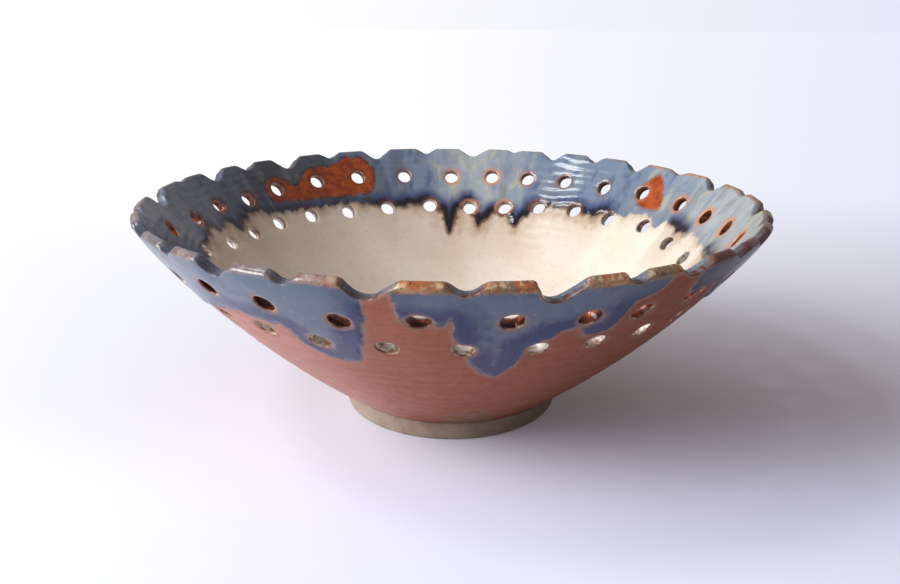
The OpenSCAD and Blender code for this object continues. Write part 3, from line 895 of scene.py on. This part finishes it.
def coat(name, kind, thickness):
    """One glaze as a closed shell cut from the skin."""
    skin = bowl_skin()
    tris = skin.tris[skin.kinds == kind]
    used, local = np.unique(tris, return_inverse=True)
    tris = local.reshape(tris.shape)
    n, v = skin.normals[used], skin.verts[used]
    under = len(used)
    a, b = open_edges(tris).T
    sides = quads(b, a, a + under, b + under)
    both = join(v, v - n * thickness)
    side_n = unit(face_normals(both, sides))
    normals = join(n[tris.ravel()], -n[tris[:, ::-1].ravel()], np.repeat(side_n, 3, 0))
    return make_mesh(name, both, join(tris, tris[:, ::-1] + under, sides), normals,
                     {k: join(m[used], m[used]) for k, m in skin.marks.items()})


# Finishes

class Value:
    """A number, mask or colour in a node tree. Sums and steps of it place their own nodes."""

    def __init__(self, wiring, socket):
        self.wiring, self.socket = wiring, socket

    def __add__(self, other):
        return self.wiring.math("ADD", self, other)

    def __sub__(self, other):
        return self.wiring.math("SUBTRACT", self, other)

    def __mul__(self, other):
        return self.wiring.math("MULTIPLY", self, other)

    def rest(self):
        return self.wiring.math("SUBTRACT", 1.0, self, clamp=True)

    def at_most(self, limit):
        return self.wiring.math("MINIMUM", self, limit)

    def at_least(self, limit):
        return self.wiring.math("MAXIMUM", self, limit)

    def step(self, low, high, at_low=0.0, at_high=1.0):
        """A soft step from one value to another as this goes from low to high."""
        return self.wiring.get("ShaderNodeMapRange", "Result", {
            "Value": self, "From Min": low, "From Max": high, "To Min": at_low, "To Max": at_high},
            interpolation_type="SMOOTHSTEP")


class Wiring:
    """Places nodes in a material or group and joins them, one short call each."""

    def __init__(self, tree):
        self.tree = tree

    def add(self, kind, inputs=(), **settings):
        node = self.tree.nodes.new(kind)
        for key, value in settings.items():
            setattr(node, key, value)
        for key, value in dict(inputs).items():
            self.put(node.inputs[key], value)
        return node

    def get(self, kind, output, inputs=(), **settings):
        return Value(self, self.add(kind, inputs, **settings).outputs[output])

    def all_of(self, kind, inputs=(), **settings):
        return [Value(self, s) for s in self.add(kind, inputs, **settings).outputs]

    def put(self, socket, value):
        if isinstance(value, Value):
            self.tree.links.new(value.socket, socket)
        else:
            socket.default_value = value

    def math(self, op, a, b=0.0, clamp=False):
        return self.get("ShaderNodeMath", 0, {0: a, 1: b}, operation=op, use_clamp=clamp)

    def mix(self, share, a, b):
        node = self.add("ShaderNodeMix", data_type="RGBA")
        for socket, value in zip([s for s in node.inputs if s.enabled], (share, a, b)):
            self.put(socket, value)
        return Value(self, next(s for s in node.outputs if s.enabled))

    def mix_value(self, share, a, b):
        return self.math("ADD", a, self.math("MULTIPLY", share, self.math("SUBTRACT", b, a)))

    def layers(self, colour, *layers):
        """Lays masked colours over a colour in turn. A factor alone makes it lighter or darker."""
        for layer in layers:
            if isinstance(layer, tuple):
                colour = self.mix(layer[0], colour, layer[1])
            else:
                colour = self.get("ShaderNodeVectorMath", 0, {0: colour, "Scale": layer}, operation="SCALE")
        return colour

    def place(self, across=1.0, up=1.0):
        """The point on the bowl in mm, stretched across or up."""
        at = self.get("ShaderNodeTexCoord", "Object")
        return self.get("ShaderNodeVectorMath", 0, {0: at, 1: (across / MM, across / MM, up / MM)},
                        operation="MULTIPLY")

    def split(self, vector):
        return self.all_of("ShaderNodeSeparateXYZ", {0: vector})

    def height(self):
        return self.split(self.place())[2]

    def flow(self, across, up):
        """Coordinates that follow the wall round and down, for runs and drips."""
        x, y, z = self.split(self.place())
        flat = self.get("ShaderNodeCombineXYZ", 0, {0: x, 1: y})
        x, y, _ = self.split(self.get("ShaderNodeVectorMath", 0, {0: flat}, operation="NORMALIZE"))
        return self.get("ShaderNodeCombineXYZ", 0, {0: x * (100 * across), 1: y * (100 * across), 2: z * up})

    def noise(self, scale, detail, rough, warp=0.0, place=None):
        return self.get("ShaderNodeTexNoise", "Fac", {
            "Vector": place or self.place(), "Scale": scale, "Detail": detail, "Roughness": rough,
            "Distortion": warp})

    def dots(self, scale, size, share):
        """Round specks: a mask of dots of a size, in a share of the cells."""
        near, cell, _ = self.all_of("ShaderNodeTexVoronoi", {"Vector": self.place(), "Scale": scale})[:3]
        chosen = self.get("ShaderNodeSeparateColor", 0, {0: cell})
        return near.step(size, size * 0.5) * self.math("LESS_THAN", chosen, share)

    def marks(self, names):
        return [self.get("ShaderNodeAttribute", "Fac", attribute_name=name) for name in names.split()]

    def reach(self, a, b):
        return self.math("SQRT", a * a + b * b)


def looks(*rgb):
    """A fixed minor tint, written as it looks on the fired pot."""
    return (*(to_linear(c / 255) for c in rgb), 1.0)


def node_group(name, colours):
    """Makes a recipe into a node group with colour inputs, built when it is first asked for."""
    def wrap(recipe):
        def tree_for(c):
            if name in bpy.data.node_groups:
                return bpy.data.node_groups[name]
            tree = bpy.data.node_groups.new(name, "ShaderNodeTree")
            keys = [key.partition("=") for key in colours.split()]
            for key, _, source in keys:
                socket = tree.interface.new_socket(key.replace("_", " ").capitalize(), in_out="INPUT",
                                                   socket_type="NodeSocketColor")
                socket.default_value = (*getattr(c, source or key), 1.0)
            for label, kind in (("Color", "Color"), ("Roughness", "Float"), ("Height", "Float")):
                tree.interface.new_socket(label, in_out="OUTPUT", socket_type="NodeSocket" + kind)
            w = Wiring(tree)
            tints = w.all_of("NodeGroupInput")
            tint = SimpleNamespace(**{key: t for (key, _, _), t in zip(keys, tints)})
            out = w.add("NodeGroupOutput")
            for socket, value in zip(out.inputs, recipe(w, tint)):
                w.put(socket, value)
            return tree
        return tree_for
    return wrap


@node_group("Outside glazes", "slip dark_slip halo pale_blue cobalt bone")
def outside_glazes(w, tint):
    """Slip and blue glaze outside: one group, so that both pieces meet in one picture."""
    run, hole, bore, dusk = w.marks("run_gap hole_gap bore dusk")
    z = w.height()
    grain, blotch, broad = w.noise(2.2, 4, 0.6), w.noise(0.34, 3, 0.55), w.noise(0.06, 2, 0.5)
    fringe, cloud = w.noise(1.1, 3, 0.6), w.noise(0.11, 3, 0.55, 0.3)
    bands = w.noise(1, 4, 0.6, place=w.place(0.012, 0.8))
    fine_bands = w.noise(1, 2, 0.6, place=w.place(0.02, 2.4))
    streak = w.noise(1, 3, 0.55, 0.4, w.flow(0.42, 0.09))

    bloom = w.noise(0.075, 3, 0.6).step(0.5, 0.64) * z.step(26, 12)
    # Painted shade: a dark band in the crease where the wall meets the foot
    line = z.step(9, 6.8) * fringe.step(0.35, 0.65, 0.35, 0.9)
    slip = w.layers(
        tint.slip,
        (blotch.step(0.42, 0.74, 0, 0.22), tint.dark_slip),
        (broad.step(0.42, 0.62, 0, 0.5), looks(170, 102, 68)),
        bands.step(0.3, 0.7, 0.92, 1.07),
        fine_bands.step(0.34, 0.66, 0.95, 1.05),
        (bands.step(0.6, 0.74, 0, 0.25), looks(206, 160, 146)),
        grain.step(0.3, 0.7, 0.93, 1.06),
        (w.dots(0.7, 0.24, 0.16) * 0.5, looks(74, 40, 34)),
        (w.dots(0.45, 0.16, 0.2) * 0.4, looks(204, 160, 134)),
        (bloom * 0.6, looks(148, 134, 118)),
        # Painted shade: the slip darker on the side turned from the lamp; painted sheen: paler and pinker
        # where that shade is low
        (dusk * 0.6, looks(84, 38, 28)),
        (dusk.step(0.4, 0) * 0.4, looks(216, 170, 160)),
        (line * 0.55, looks(92, 54, 44)))

    uneven = run + (fringe - 0.5)
    sunk = run + ((streak - 0.5) * 4 + (cloud - 0.5) * 12)
    pool = sunk.step(9.5, 3) * z.step(73, 65, 0.35, 1)
    deep = pool + z.step(68, 50, 0, 0.3) + cloud.step(0.54, 0.7, 0, 0.35)
    thinner = pool.rest() * 0.3
    thin = run.step(1, 0) * blotch.step(0.4, 0.58, 0.1, 0.9)
    blue = w.layers(
        tint.pale_blue,
        (deep.at_most(1.0), tint.cobalt),
        (broad.step(0.5, 0.66) * thinner, looks(112, 118, 126)),
        (blotch.step(0.58, 0.76) * thinner, looks(150, 156, 172)),
        (thin * 0.6, looks(84, 92, 92)),
        (w.dots(0.6, 0.16, 0.1) * 0.3, looks(40, 40, 60)),
        grain.step(0.3, 0.7, 0.95, 1.05),
        # Painted shade: the blue darker and greyer on the side turned from the lamp
        (dusk.step(0.5, 1) * 0.4, looks(74, 66, 66)))

    halo = uneven.step(-2.2, -0.2) * blotch.step(0.3, 0.6, 0.15, 0.75)
    about = hole + (fringe - 0.5) * 1.4
    ring = hole.step(0.42, 0.1) * fringe.step(0.3, 0.55, 0.5, 1)
    # Bores: the upper row dark red-brown, partly painted shade in the hole; the lower row pale, painted
    # light as if lit through from inside
    in_bore = bore.step(0.01, 0.08) * hole.step(0.25, 0.05)
    dark = w.mix(blotch.step(0.46, 0.64), looks(64, 28, 18), looks(146, 66, 34))
    pale = w.mix(blotch.step(0.42, 0.62), looks(232, 222, 210), looks(150, 112, 88))
    colour = w.layers(
        slip,
        (halo, tint.halo),
        (uneven.step(-0.8, 0.6), blue),
        (about.step(1.9, 0.3, 0, 0.7),
         w.mix(blotch.step(0.4, 0.6), looks(150, 116, 108), looks(150, 92, 66))),
        (ring * 0.7, w.mix(blotch.step(0.45, 0.62), looks(104, 56, 42), tint.bone)),
        (in_bore, w.mix(z.step(60.5, 56.5), dark, pale)))

    rough = w.mix_value(uneven.step(-0.4, 0.4), blotch.step(0.3, 0.7, 0.38, 0.52),
                        fringe.step(0.3, 0.7, 0.1, 0.17))
    bumps = (bands * run.step(-0.5, 0.3, 0.07, 0.02) + blotch * 0.025
             + grain * run.step(-0.5, 0.3, 0.014, 0.003))
    return colour, rough, bumps


@node_group("Inside glazes", "cream specks slate dark_slate pale_slate navy cobalt brick bone")
def inside_glazes(w, tint):
    """Liner, slate blue and iron patches inside, in one group."""
    run, hole, patch, bore, pale, edge = w.marks("run_gap hole_gap patch_gap bore pale edge")
    grain, fleck, fringe = w.noise(2.6, 4, 0.62), w.noise(1.25, 3, 0.7), w.noise(0.9, 3, 0.6)
    blotch, broad = w.noise(0.3, 3, 0.55), w.noise(0.05, 2, 0.5)
    streak = w.noise(1, 3, 0.5, 0.5, w.flow(0.17, 0.05))
    wide = w.noise(1, 2, 0.5, place=w.flow(0.09, 0.02))
    cloud = w.noise(1, 3, 0.55, 0.5, w.flow(0.2, 0.12))

    toasted = ((run + (blotch - 0.5) * 9).step(-8, -1)
               * (wide.step(0.38, 0.62, 0.15, 0.8) * (edge * 0.7 + 0.3)))
    liner = w.layers(
        tint.cream,
        (broad.step(0.4, 0.66, 0, 0.3), looks(214, 198, 172)),
        (blotch.step(0.52, 0.72, 0, 0.16), looks(186, 166, 140)),
        (fleck.step(0.56, 0.7, 0, 0.5), w.mix(0.5, tint.specks, tint.cream)),
        (w.dots(0.75, 0.2, 0.22) * 0.6, tint.specks),
        grain.step(0.3, 0.7, 0.93, 1.04),
        (toasted, looks(158, 122, 90)),
        (run.step(-30, -3) * (edge * 0.4), looks(164, 142, 118)))

    uneven = run + (fringe - 0.5) * 1.1
    tone = pale + (wide - 0.5) * 0.7
    calm = tone.step(0.75, 0.45)
    sunk = run + (streak - 0.5) * 4
    # Painted light and shade: the blue inside runs from its shaded copy to its lit copy as the pale mark
    # rises
    slate = w.layers(
        tint.dark_slate,
        (tone.step(0.02, 0.4), tint.slate),
        (tone.step(0.5, 0.95), tint.pale_slate),
        (cloud.step(0.5, 0.7) * (calm * 0.35 + 0.25), looks(46, 70, 112)),
        (streak.step(0.46, 0.3) * 0.35, looks(140, 142, 146)),
        (cloud.step(0.46, 0.32) * (calm.rest() * 0.7), looks(186, 178, 140)),
        (streak.step(0.58, 0.7) * (tone.step(0.25, 0.6) * 0.45), looks(126, 122, 92)),
        (fleck.step(0.56, 0.72, 0, 0.3), looks(78, 84, 92)),
        (sunk.step(8, 2.4) * (edge * 0.85), tint.cobalt),
        ((uneven + (streak - 0.5) * 3).step(3.4, 1.6) * edge, tint.navy))

    brick = w.layers(
        tint.brick,
        (blotch.step(0.38, 0.62), looks(132, 56, 26)),
        (fleck.step(0.55, 0.7, 0, 0.5), looks(206, 118, 62)),
        (w.dots(0.6, 0.22, 0.25) * 0.7, looks(54, 30, 22)))

    brown = (uneven + (blotch - 0.5) * 4).step(-2.4, -0.2) * (edge * 0.75 + 0.15)
    ragged = patch + (fringe - 0.5) * 1.2
    border = ragged.step(-1.3, -0.2) * (blotch.step(0.3, 0.6, 0.2, 1) * pale.step(0.3, 0.8, 0.8, 0.1))
    in_blue = run.step(-0.5, 0.5) * (w.math("ABSOLUTE", pale - 0.4) * 1.2 + 0.35)
    rust = (hole + (fringe - 0.5) * 2.8).step(2.6, 0.2) * in_blue
    ring = hole.step(0.42, 0.1) * fringe.step(0.3, 0.55, 0.5, 1)
    # Bores: the upper row rust-brown, partly painted shade in the hole; the lower row pale, painted light as
    # if lit through from inside, most on the lit side
    in_bore = bore.step(0.99, 0.92) * hole.step(0.25, 0.05)
    rusty = w.mix(blotch.step(0.42, 0.62), looks(156, 78, 44), looks(80, 38, 26))
    lit_bore_colour = w.mix(blotch.step(0.42, 0.62), looks(206, 198, 190), looks(140, 116, 100))
    lit_lower_bore = w.height().step(61.5, 57.5) * pale.step(0.1, 0.4, 0.25, 1)
    colour = w.layers(
        liner,
        (brown, looks(84, 58, 40)),
        (uneven.step(-0.7, 0.5), slate),
        (border, w.mix(blotch.step(0.4, 0.6), looks(62, 62, 54), looks(36, 34, 36))),
        (ragged.step(-0.5, 0.5), brick),
        # The rust halos paler on the lit side and darker on the other: painted light and shade
        (rust.at_most(0.8), w.mix(pale.step(0.3, 0.8), looks(104, 56, 42), looks(196, 132, 98))),
        (ring * 0.45, w.mix(blotch.step(0.4, 0.6), looks(120, 92, 76), tint.bone)),
        (in_bore, w.mix(lit_lower_bore, rusty, lit_bore_colour)))

    rough = w.mix_value(uneven.step(-0.4, 0.3), fleck.step(0.35, 0.65, 0.2, 0.3),
                        fringe.step(0.3, 0.7, 0.09, 0.16))
    ridges = w.math("SINE", w.height() * 2.2 + broad * 14)
    bumps = (blotch * 0.02 + w.noise(0.12, 1, 0.5) * 0.14 + ridges * run.step(-2, 1, 0.012, 0.05)
             + grain * run.step(-0.5, 0.5, 0.008, 0.003))
    return colour, rough, bumps


@node_group("Lip toasting", "under=pale_blue toast char bone")
def lip_toast_and_shade(w, tint):
    """What the fire does to the glaze on the lip: tan, bone and char over the glaze below, with painted
    shade on the notches' cut faces and on the lobes turned from the lamp.
    """
    rim, notch, share, scorch, bore = w.marks("rim_gap notch toast scorch bore")
    blotch = w.noise(1, 3, 0.6, place=w.flow(0.5, 0.45))
    broad = w.noise(1, 2, 0.5, place=w.flow(0.13, 0.1))
    fine = w.noise(1.7, 3, 0.65)

    # Partly painted shade: the lobes dark red-brown where they are turned from the lamp
    burnt_and_shaded = (scorch + (blotch - 0.5) * 1.2).step(0.45, 0.85)
    crest = rim.step(0.35, 0) * (blotch.step(0.5, 0.6) * scorch.rest())
    # The notches' cut faces: dark brown with bits of blue-grey glaze, near-black where the lip is drawn
    # darkest: painted shade on faces turned from the lamp
    cut = w.layers(
        looks(62, 44, 38),
        (blotch.step(0.42, 0.6), looks(84, 88, 104)),
        (scorch * 0.7, tint.char))
    toast = w.layers(
        tint.toast,
        (blotch.step(0.4, 0.58), looks(186, 142, 100)),
        (broad.step(0.44, 0.58, 0, 0.85), looks(122, 108, 84)),
        (fine.step(0.46, 0.34) * 0.7, looks(184, 84, 40)),
        (fine.step(0.55, 0.66, 0, 0.8), looks(84, 58, 40)),
        (w.dots(1, 0.34, 0.35) * 0.8, tint.char),
        (burnt_and_shaded * 0.95, looks(84, 32, 22)),
        (crest * 0.55, tint.bone),
        (notch * rim.step(0.8, 0.1) * 0.85, cut))

    edge = rim + (fine - 0.5) * 1.6
    reach = w.mix_value(notch, 1.9, 0.8) * (share * 0.7 + 0.3)
    cover = w.math("DIVIDE", edge, reach).step(1.2, 0.5) * (share * 0.85 + 0.1)
    inner_part = notch * bore.step(0.4, 0.75) * scorch.step(1, 0.5, 0.4, 0.9)
    dark_line = rim.step(0.3, 0) * fine.step(0.6, 0.45)
    colour = w.layers(
        tint.under,
        (dark_line * 0.6, looks(60, 64, 86)),
        (cover * inner_part.rest(), toast))
    return colour, fine.step(0.3, 0.7, 0.12, 0.26), blotch * 0.05 + fine * 0.03


@node_group("Bare clay grain", "clay")
def bare_clay(w, tint):
    """Unglazed clay: wiped, with fine grit and turning lines."""
    grit, blotch = w.noise(2.4, 4, 0.7), w.noise(0.22, 3, 0.6)
    lines = w.noise(1, 3, 0.6, place=w.place(0.05, 1.8))
    colour = w.layers(
        tint.clay,
        (blotch.step(0.4, 0.7, 0, 0.5), looks(134, 120, 100)),
        grit.step(0.3, 0.7, 0.9, 1.06),
        lines.step(0.3, 0.7, 0.93, 1.04),
        (w.dots(0.8, 0.22, 0.2) * 0.6, looks(92, 78, 62)),
        (w.height().step(5.2, 6.3) * blotch.step(0.35, 0.6, 0.25, 0.7), looks(120, 96, 78)))
    return colour, grit.step(0.3, 0.7, 0.72, 0.88), grit * 0.05 + lines * 0.06


def new_material(name):
    mat = bpy.data.materials.new(name)
    mat.use_nodes = True
    return mat, Wiring(mat.node_tree), mat.node_tree.nodes["Principled BSDF"].inputs


def finish(name, trees, coat=0.0, shine=0.4):
    """A material from its groups, joined to its own shader."""
    if name in bpy.data.materials:
        return bpy.data.materials[name]
    mat, w, shader = new_material(name)
    nodes = [w.add("ShaderNodeGroup", node_tree=tree) for tree in trees]
    parts = [[Value(w, socket) for socket in node.outputs] for node in nodes]
    colour, rough, height = parts[0]
    if len(parts) == 3:
        # The lip: toasting over the outside's glaze on one side and the inside's on the other
        (in_colour, _, in_height), (toasted, rough, lip_height) = parts[1:]
        side = w.marks("bore")[0].step(0.35, 0.65)
        w.put(nodes[2].inputs["Under"], w.mix(side, colour, in_colour))
        colour = toasted
        height = w.mix_value(side, height, in_height) + lip_height
    w.put(shader["Base Color"], colour)
    w.put(shader["Roughness"], rough)
    shader["Coat Weight"].default_value = coat
    shader["Coat Roughness"].default_value = 0.06
    shader["Specular IOR Level"].default_value = shine
    bump = {"Strength": 1.0, "Distance": MM, "Height": height}
    w.put(shader["Normal"], w.get("ShaderNodeBump", "Normal", bump))
    return mat


def sky(w, x, y):
    """The backdrop's colour by the way it is seen, from white at the left to lavender."""
    across = w.math("DIVIDE", x, w.reach(x, y).at_least(0.01))
    return w.mix(across.step(-0.29, 0.6), SKY_LEFT, SKY_RIGHT)


def paper():
    """Pale paper that brightens with distance, as seen by the camera, and keeps the shadow."""
    mat, w, shader = new_material("Paper")
    x, y, _ = w.split(w.get("ShaderNodeTexCoord", "Object"))
    rays = w.add("ShaderNodeLightPath").outputs
    camera, through, glossy = (Value(w, rays["Is %s Ray" % k]) for k in ("Camera", "Transmission", "Glossy"))
    far = y.step(-0.06, 0.42).at_least(w.reach(x, y).step(0.5, 1.3))
    near = w.mix(y.step(0, -0.09), (0.035, 0.02, 0.016, 1), (0.13, 0.13, 0.2, 1))
    w.put(shader["Base Color"], w.mix(far, (0.72, 0.76, 0.87, 1), (0, 0, 0, 1)))
    shader["Roughness"].default_value = 0.9
    w.put(shader["Emission Color"], w.mix(far, near, sky(w, x, y + 0.3)))
    w.put(shader["Emission Strength"], camera.at_least(through).at_least(glossy * 0.35))
    return mat


def studio():
    """The world: the backdrop's colour as seen, and soft warm light from above."""
    world = bpy.data.worlds.new("Studio")
    world.use_nodes = True
    w = Wiring(world.node_tree)
    back = world.node_tree.nodes["Background"].inputs
    rays = w.add("ShaderNodeLightPath").outputs
    camera, through, glossy = (Value(w, rays["Is %s Ray" % k]) for k in ("Camera", "Transmission", "Glossy"))
    toward, ahead, aloft = w.split(w.get("ShaderNodeTexCoord", "Generated"))
    seen = camera.at_least(through)
    light = w.mix_value(glossy, aloft.step(-0.1, 0.8, 0.02, 0.33), 0.4)
    w.put(back["Color"], w.mix(seen, (1.0, 0.88, 0.84, 1), sky(w, toward, ahead)))
    w.put(back["Strength"], w.mix_value(seen, light, 1.0))
    return world


def lamp(name, place, aim, size, power):
    data = bpy.data.lights.new(name, "AREA")
    data.size, data.energy = size, power
    obj = bpy.data.objects.new(name, data)
    obj.location = place
    obj.rotation_euler = (Vector(aim) - Vector(place)).to_track_quat("-Z", "Y").to_euler()
    return obj


def photo_camera():
    """The camera of the photo, from its place, its turn and its lens."""
    data = bpy.data.cameras.new("camera")
    data.lens, data.sensor_width = 32.195, 36
    data.clip_start, data.clip_end = 0.01, 20
    camera = bpy.data.objects.new("camera", data)
    pitch, yaw, roll = 0.32063, 0.00182, 0.00594
    ahead = Vector((math.sin(yaw) * math.cos(pitch), math.cos(yaw) * math.cos(pitch), -math.sin(pitch)))
    right = Vector((math.cos(yaw), -math.sin(yaw), 0))
    up = right.cross(ahead)
    right, up = (math.cos(roll) * right + math.sin(roll) * up,
                 math.cos(roll) * up - math.sin(roll) * right)
    turn = Matrix((right, up, -ahead)).transposed().to_4x4()
    camera.matrix_world = Matrix.Translation((-0.0010, -0.27898, 0.13222)) @ turn
    return camera


def dress(obj, mat, slot, *nodes):
    obj.data.materials.clear()
    obj.data.materials.append(mat)
    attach(obj, "root")
    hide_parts(*nodes)
    return obj


class BOWL_OT_clay(bpy.types.Operator):
    """Builds the thrown clay wall under the glazes"""
    bl_idname = "bowl.clay"
    bl_label = "Clay wall"

    def execute(self, context):
        skin = bowl_skin(fine=False)
        v = skin.verts - skin.normals * UNDER_GLAZE
        heel_z = context.scene.bowl_sizes.foot_h / MM
        v[skin.heel, 2] = heel_z
        base = np.stack((skin.heel, np.roll(skin.heel, -1), np.full(AROUND, len(v))), 1)
        obj = make_mesh("thrown_clay", join(v, [[0, 0, heel_z]]), join(skin.tris, base))
        dress(obj, finish("Bare clay", [bare_clay(context.scene.bowl_colours)], shine=0.2),
              "bare_clay", "clay_wall")
        return {"FINISHED"}


class BOWL_OT_foot(bpy.types.Operator):
    """Turns the bare foot ring"""
    bl_idname = "bowl.foot"
    bl_label = "Foot ring"

    def execute(self, context):
        sec = Section(context.scene.bowl_sizes)
        out_r, in_r, h = sec.foot_d / 2, sec.foot_d / 2 - sec.foot_w, sec.foot_h
        quarter = np.linspace(0, math.pi / 2, 7)
        rows = [(in_r - 1, h), (in_r - 0.8, h - 1.3), (in_r - 0.45, h / 2), (in_r - 0.1, 1.6)]
        rows += [(in_r + 1 - math.cos(a), 1 - math.sin(a)) for a in quarter]
        rows += [(in_r + sec.foot_w * t, 0.0) for t in (0.35, 0.5, 0.65)]
        rows += [(out_r - 1 + math.sin(a), 1 - math.cos(a)) for a in quarter]
        rows += [(out_r - sec.foot_lean * t, 1 + (h - 1) * t) for t in np.linspace(0.12, 1, 12)]
        az = 2 * math.pi * np.arange(FOOT_AROUND) / FOOT_AROUND
        verts = join(*(turned(az, np.tile(p, (FOOT_AROUND, 1))) for p in rows))
        ids = np.arange(len(verts)).reshape(-1, FOOT_AROUND)
        tris = join(*(quads(a, b, np.roll(b, -1), np.roll(a, -1))
                      for a, b in zip(ids, np.roll(ids, -1, 0))))
        dress(make_mesh("turned_foot", verts, tris[:, ::-1]),
              finish("Bare clay", [bare_clay(context.scene.bowl_colours)], shine=0.2),
              "bare_clay", "foot_ring")
        return {"FINISHED"}


class BOWL_OT_outside(bpy.types.Operator):
    """Builds the iron slip and the blue glaze outside"""
    bl_idname = "bowl.outside"
    bl_label = "Outside glazes"

    def execute(self, context):
        trees = [outside_glazes(context.scene.bowl_colours)]
        dress(coat("slip_coat", SLIP, 0.22), finish("Iron slip", trees, shine=0.2),
              "iron_slip", "iron_slip")
        dress(coat("blue_run_outside", BLUE_OUT, 0.45), finish("Blue glaze", trees, 0.1),
              "blue_glaze", "blue_outside")
        return {"FINISHED"}


class BOWL_OT_inside(bpy.types.Operator):
    """Builds the cream liner, the blue glaze and the iron patches inside"""
    bl_idname = "bowl.inside"
    bl_label = "Inside glazes"

    def execute(self, context):
        trees = [inside_glazes(context.scene.bowl_colours)]
        dress(coat("liner_coat", LINER, 0.22), finish("Cream liner", trees), "cream_liner", "cream_liner")
        dress(coat("blue_run_inside", BLUE_IN, 0.45), finish("Slate glaze", trees, 0.2),
              "slate_glaze", "blue_inside")
        dress(coat("iron_windows", PATCH, 0.3), finish("Iron patches", trees),
              "iron_patches", "iron_patches")
        return {"FINISHED"}


class BOWL_OT_lip(bpy.types.Operator):
    """Builds the toasted glaze over the lobes and notches"""
    bl_idname = "bowl.lip"
    bl_label = "Lip glaze"

    def execute(self, context):
        c = context.scene.bowl_colours
        dress(coat("lip_coat", LIP, 0.25),
              finish("Toasted lip", [outside_glazes(c), inside_glazes(c), lip_toast_and_shade(c)], 0.15),
              "toasted_glaze", "lip_glaze")
        return {"FINISHED"}


class BOWL_OT_stage(bpy.types.Operator):
    """Sets the pale floor, the soft lamps and the camera"""
    bl_idname = "bowl.stage"
    bl_label = "Stage"

    def execute(self, context):
        scene = context.scene
        scene.view_settings.view_transform = "Standard"
        scene.world = studio()
        mesh = bpy.data.meshes.new("floor")
        s = FLOOR_HALF
        mesh.from_pydata([(-s, -s, 0), (s, -s, 0), (s, s, 0), (-s, s, 0)], [], [(0, 1, 2, 3)])
        mesh.materials.append(paper())
        floor = bpy.data.objects.new("floor", mesh)
        scene.collection.objects.link(floor)
        scene.camera = photo_camera()
        for obj in (lamp("window", (-1.0, -0.32, 0.6), (0, 0, 0.03), 0.7, 19.5),
                    lamp("skylight", (-0.54, -0.11, 0.83), (0.05, 0.08, 0.07), 0.17, 1.5), scene.camera):
            scene.collection.objects.link(obj)
        return {"FINISHED"}


class BOWL_PT_panel(bpy.types.Panel):
    bl_idname = "BOWL_PT_panel"
    bl_label = "Colander bowl"
    bl_space_type = "VIEW_3D"
    bl_region_type = "UI"
    bl_category = "Bowl"

    def draw(self, context):
        layout = self.layout
        for operator in STEPS:
            layout.operator(operator.bl_idname)
        for group, label in ((context.scene.bowl_sizes, "Sizes"), (context.scene.bowl_colours, "Colours")):
            box = layout.box()
            box.label(text=label)
            for name in type(group).__annotations__:
                box.prop(group, name)


STEPS = (BOWL_OT_clay, BOWL_OT_foot, BOWL_OT_outside, BOWL_OT_inside, BOWL_OT_lip, BOWL_OT_stage)
CLASSES = (BowlSizes, BowlColours, *STEPS, BOWL_PT_panel)


def register():
    for cls in CLASSES:
        bpy.utils.register_class(cls)
    bpy.types.Scene.bowl_sizes = PointerProperty(type=BowlSizes)
    bpy.types.Scene.bowl_colours = PointerProperty(type=BowlColours)


def unregister():
    del bpy.types.Scene.bowl_colours
    del bpy.types.Scene.bowl_sizes
    for cls in reversed(CLASSES):
        bpy.utils.unregister_class(cls)


def main():
    register()
    bpy.ops.bowl.clay()
    bpy.ops.bowl.foot()
    bpy.ops.bowl.outside()
    bpy.ops.bowl.inside()
    bpy.ops.bowl.lip()
    bpy.ops.bowl.stage()


if __name__ == "__main__":
    main()
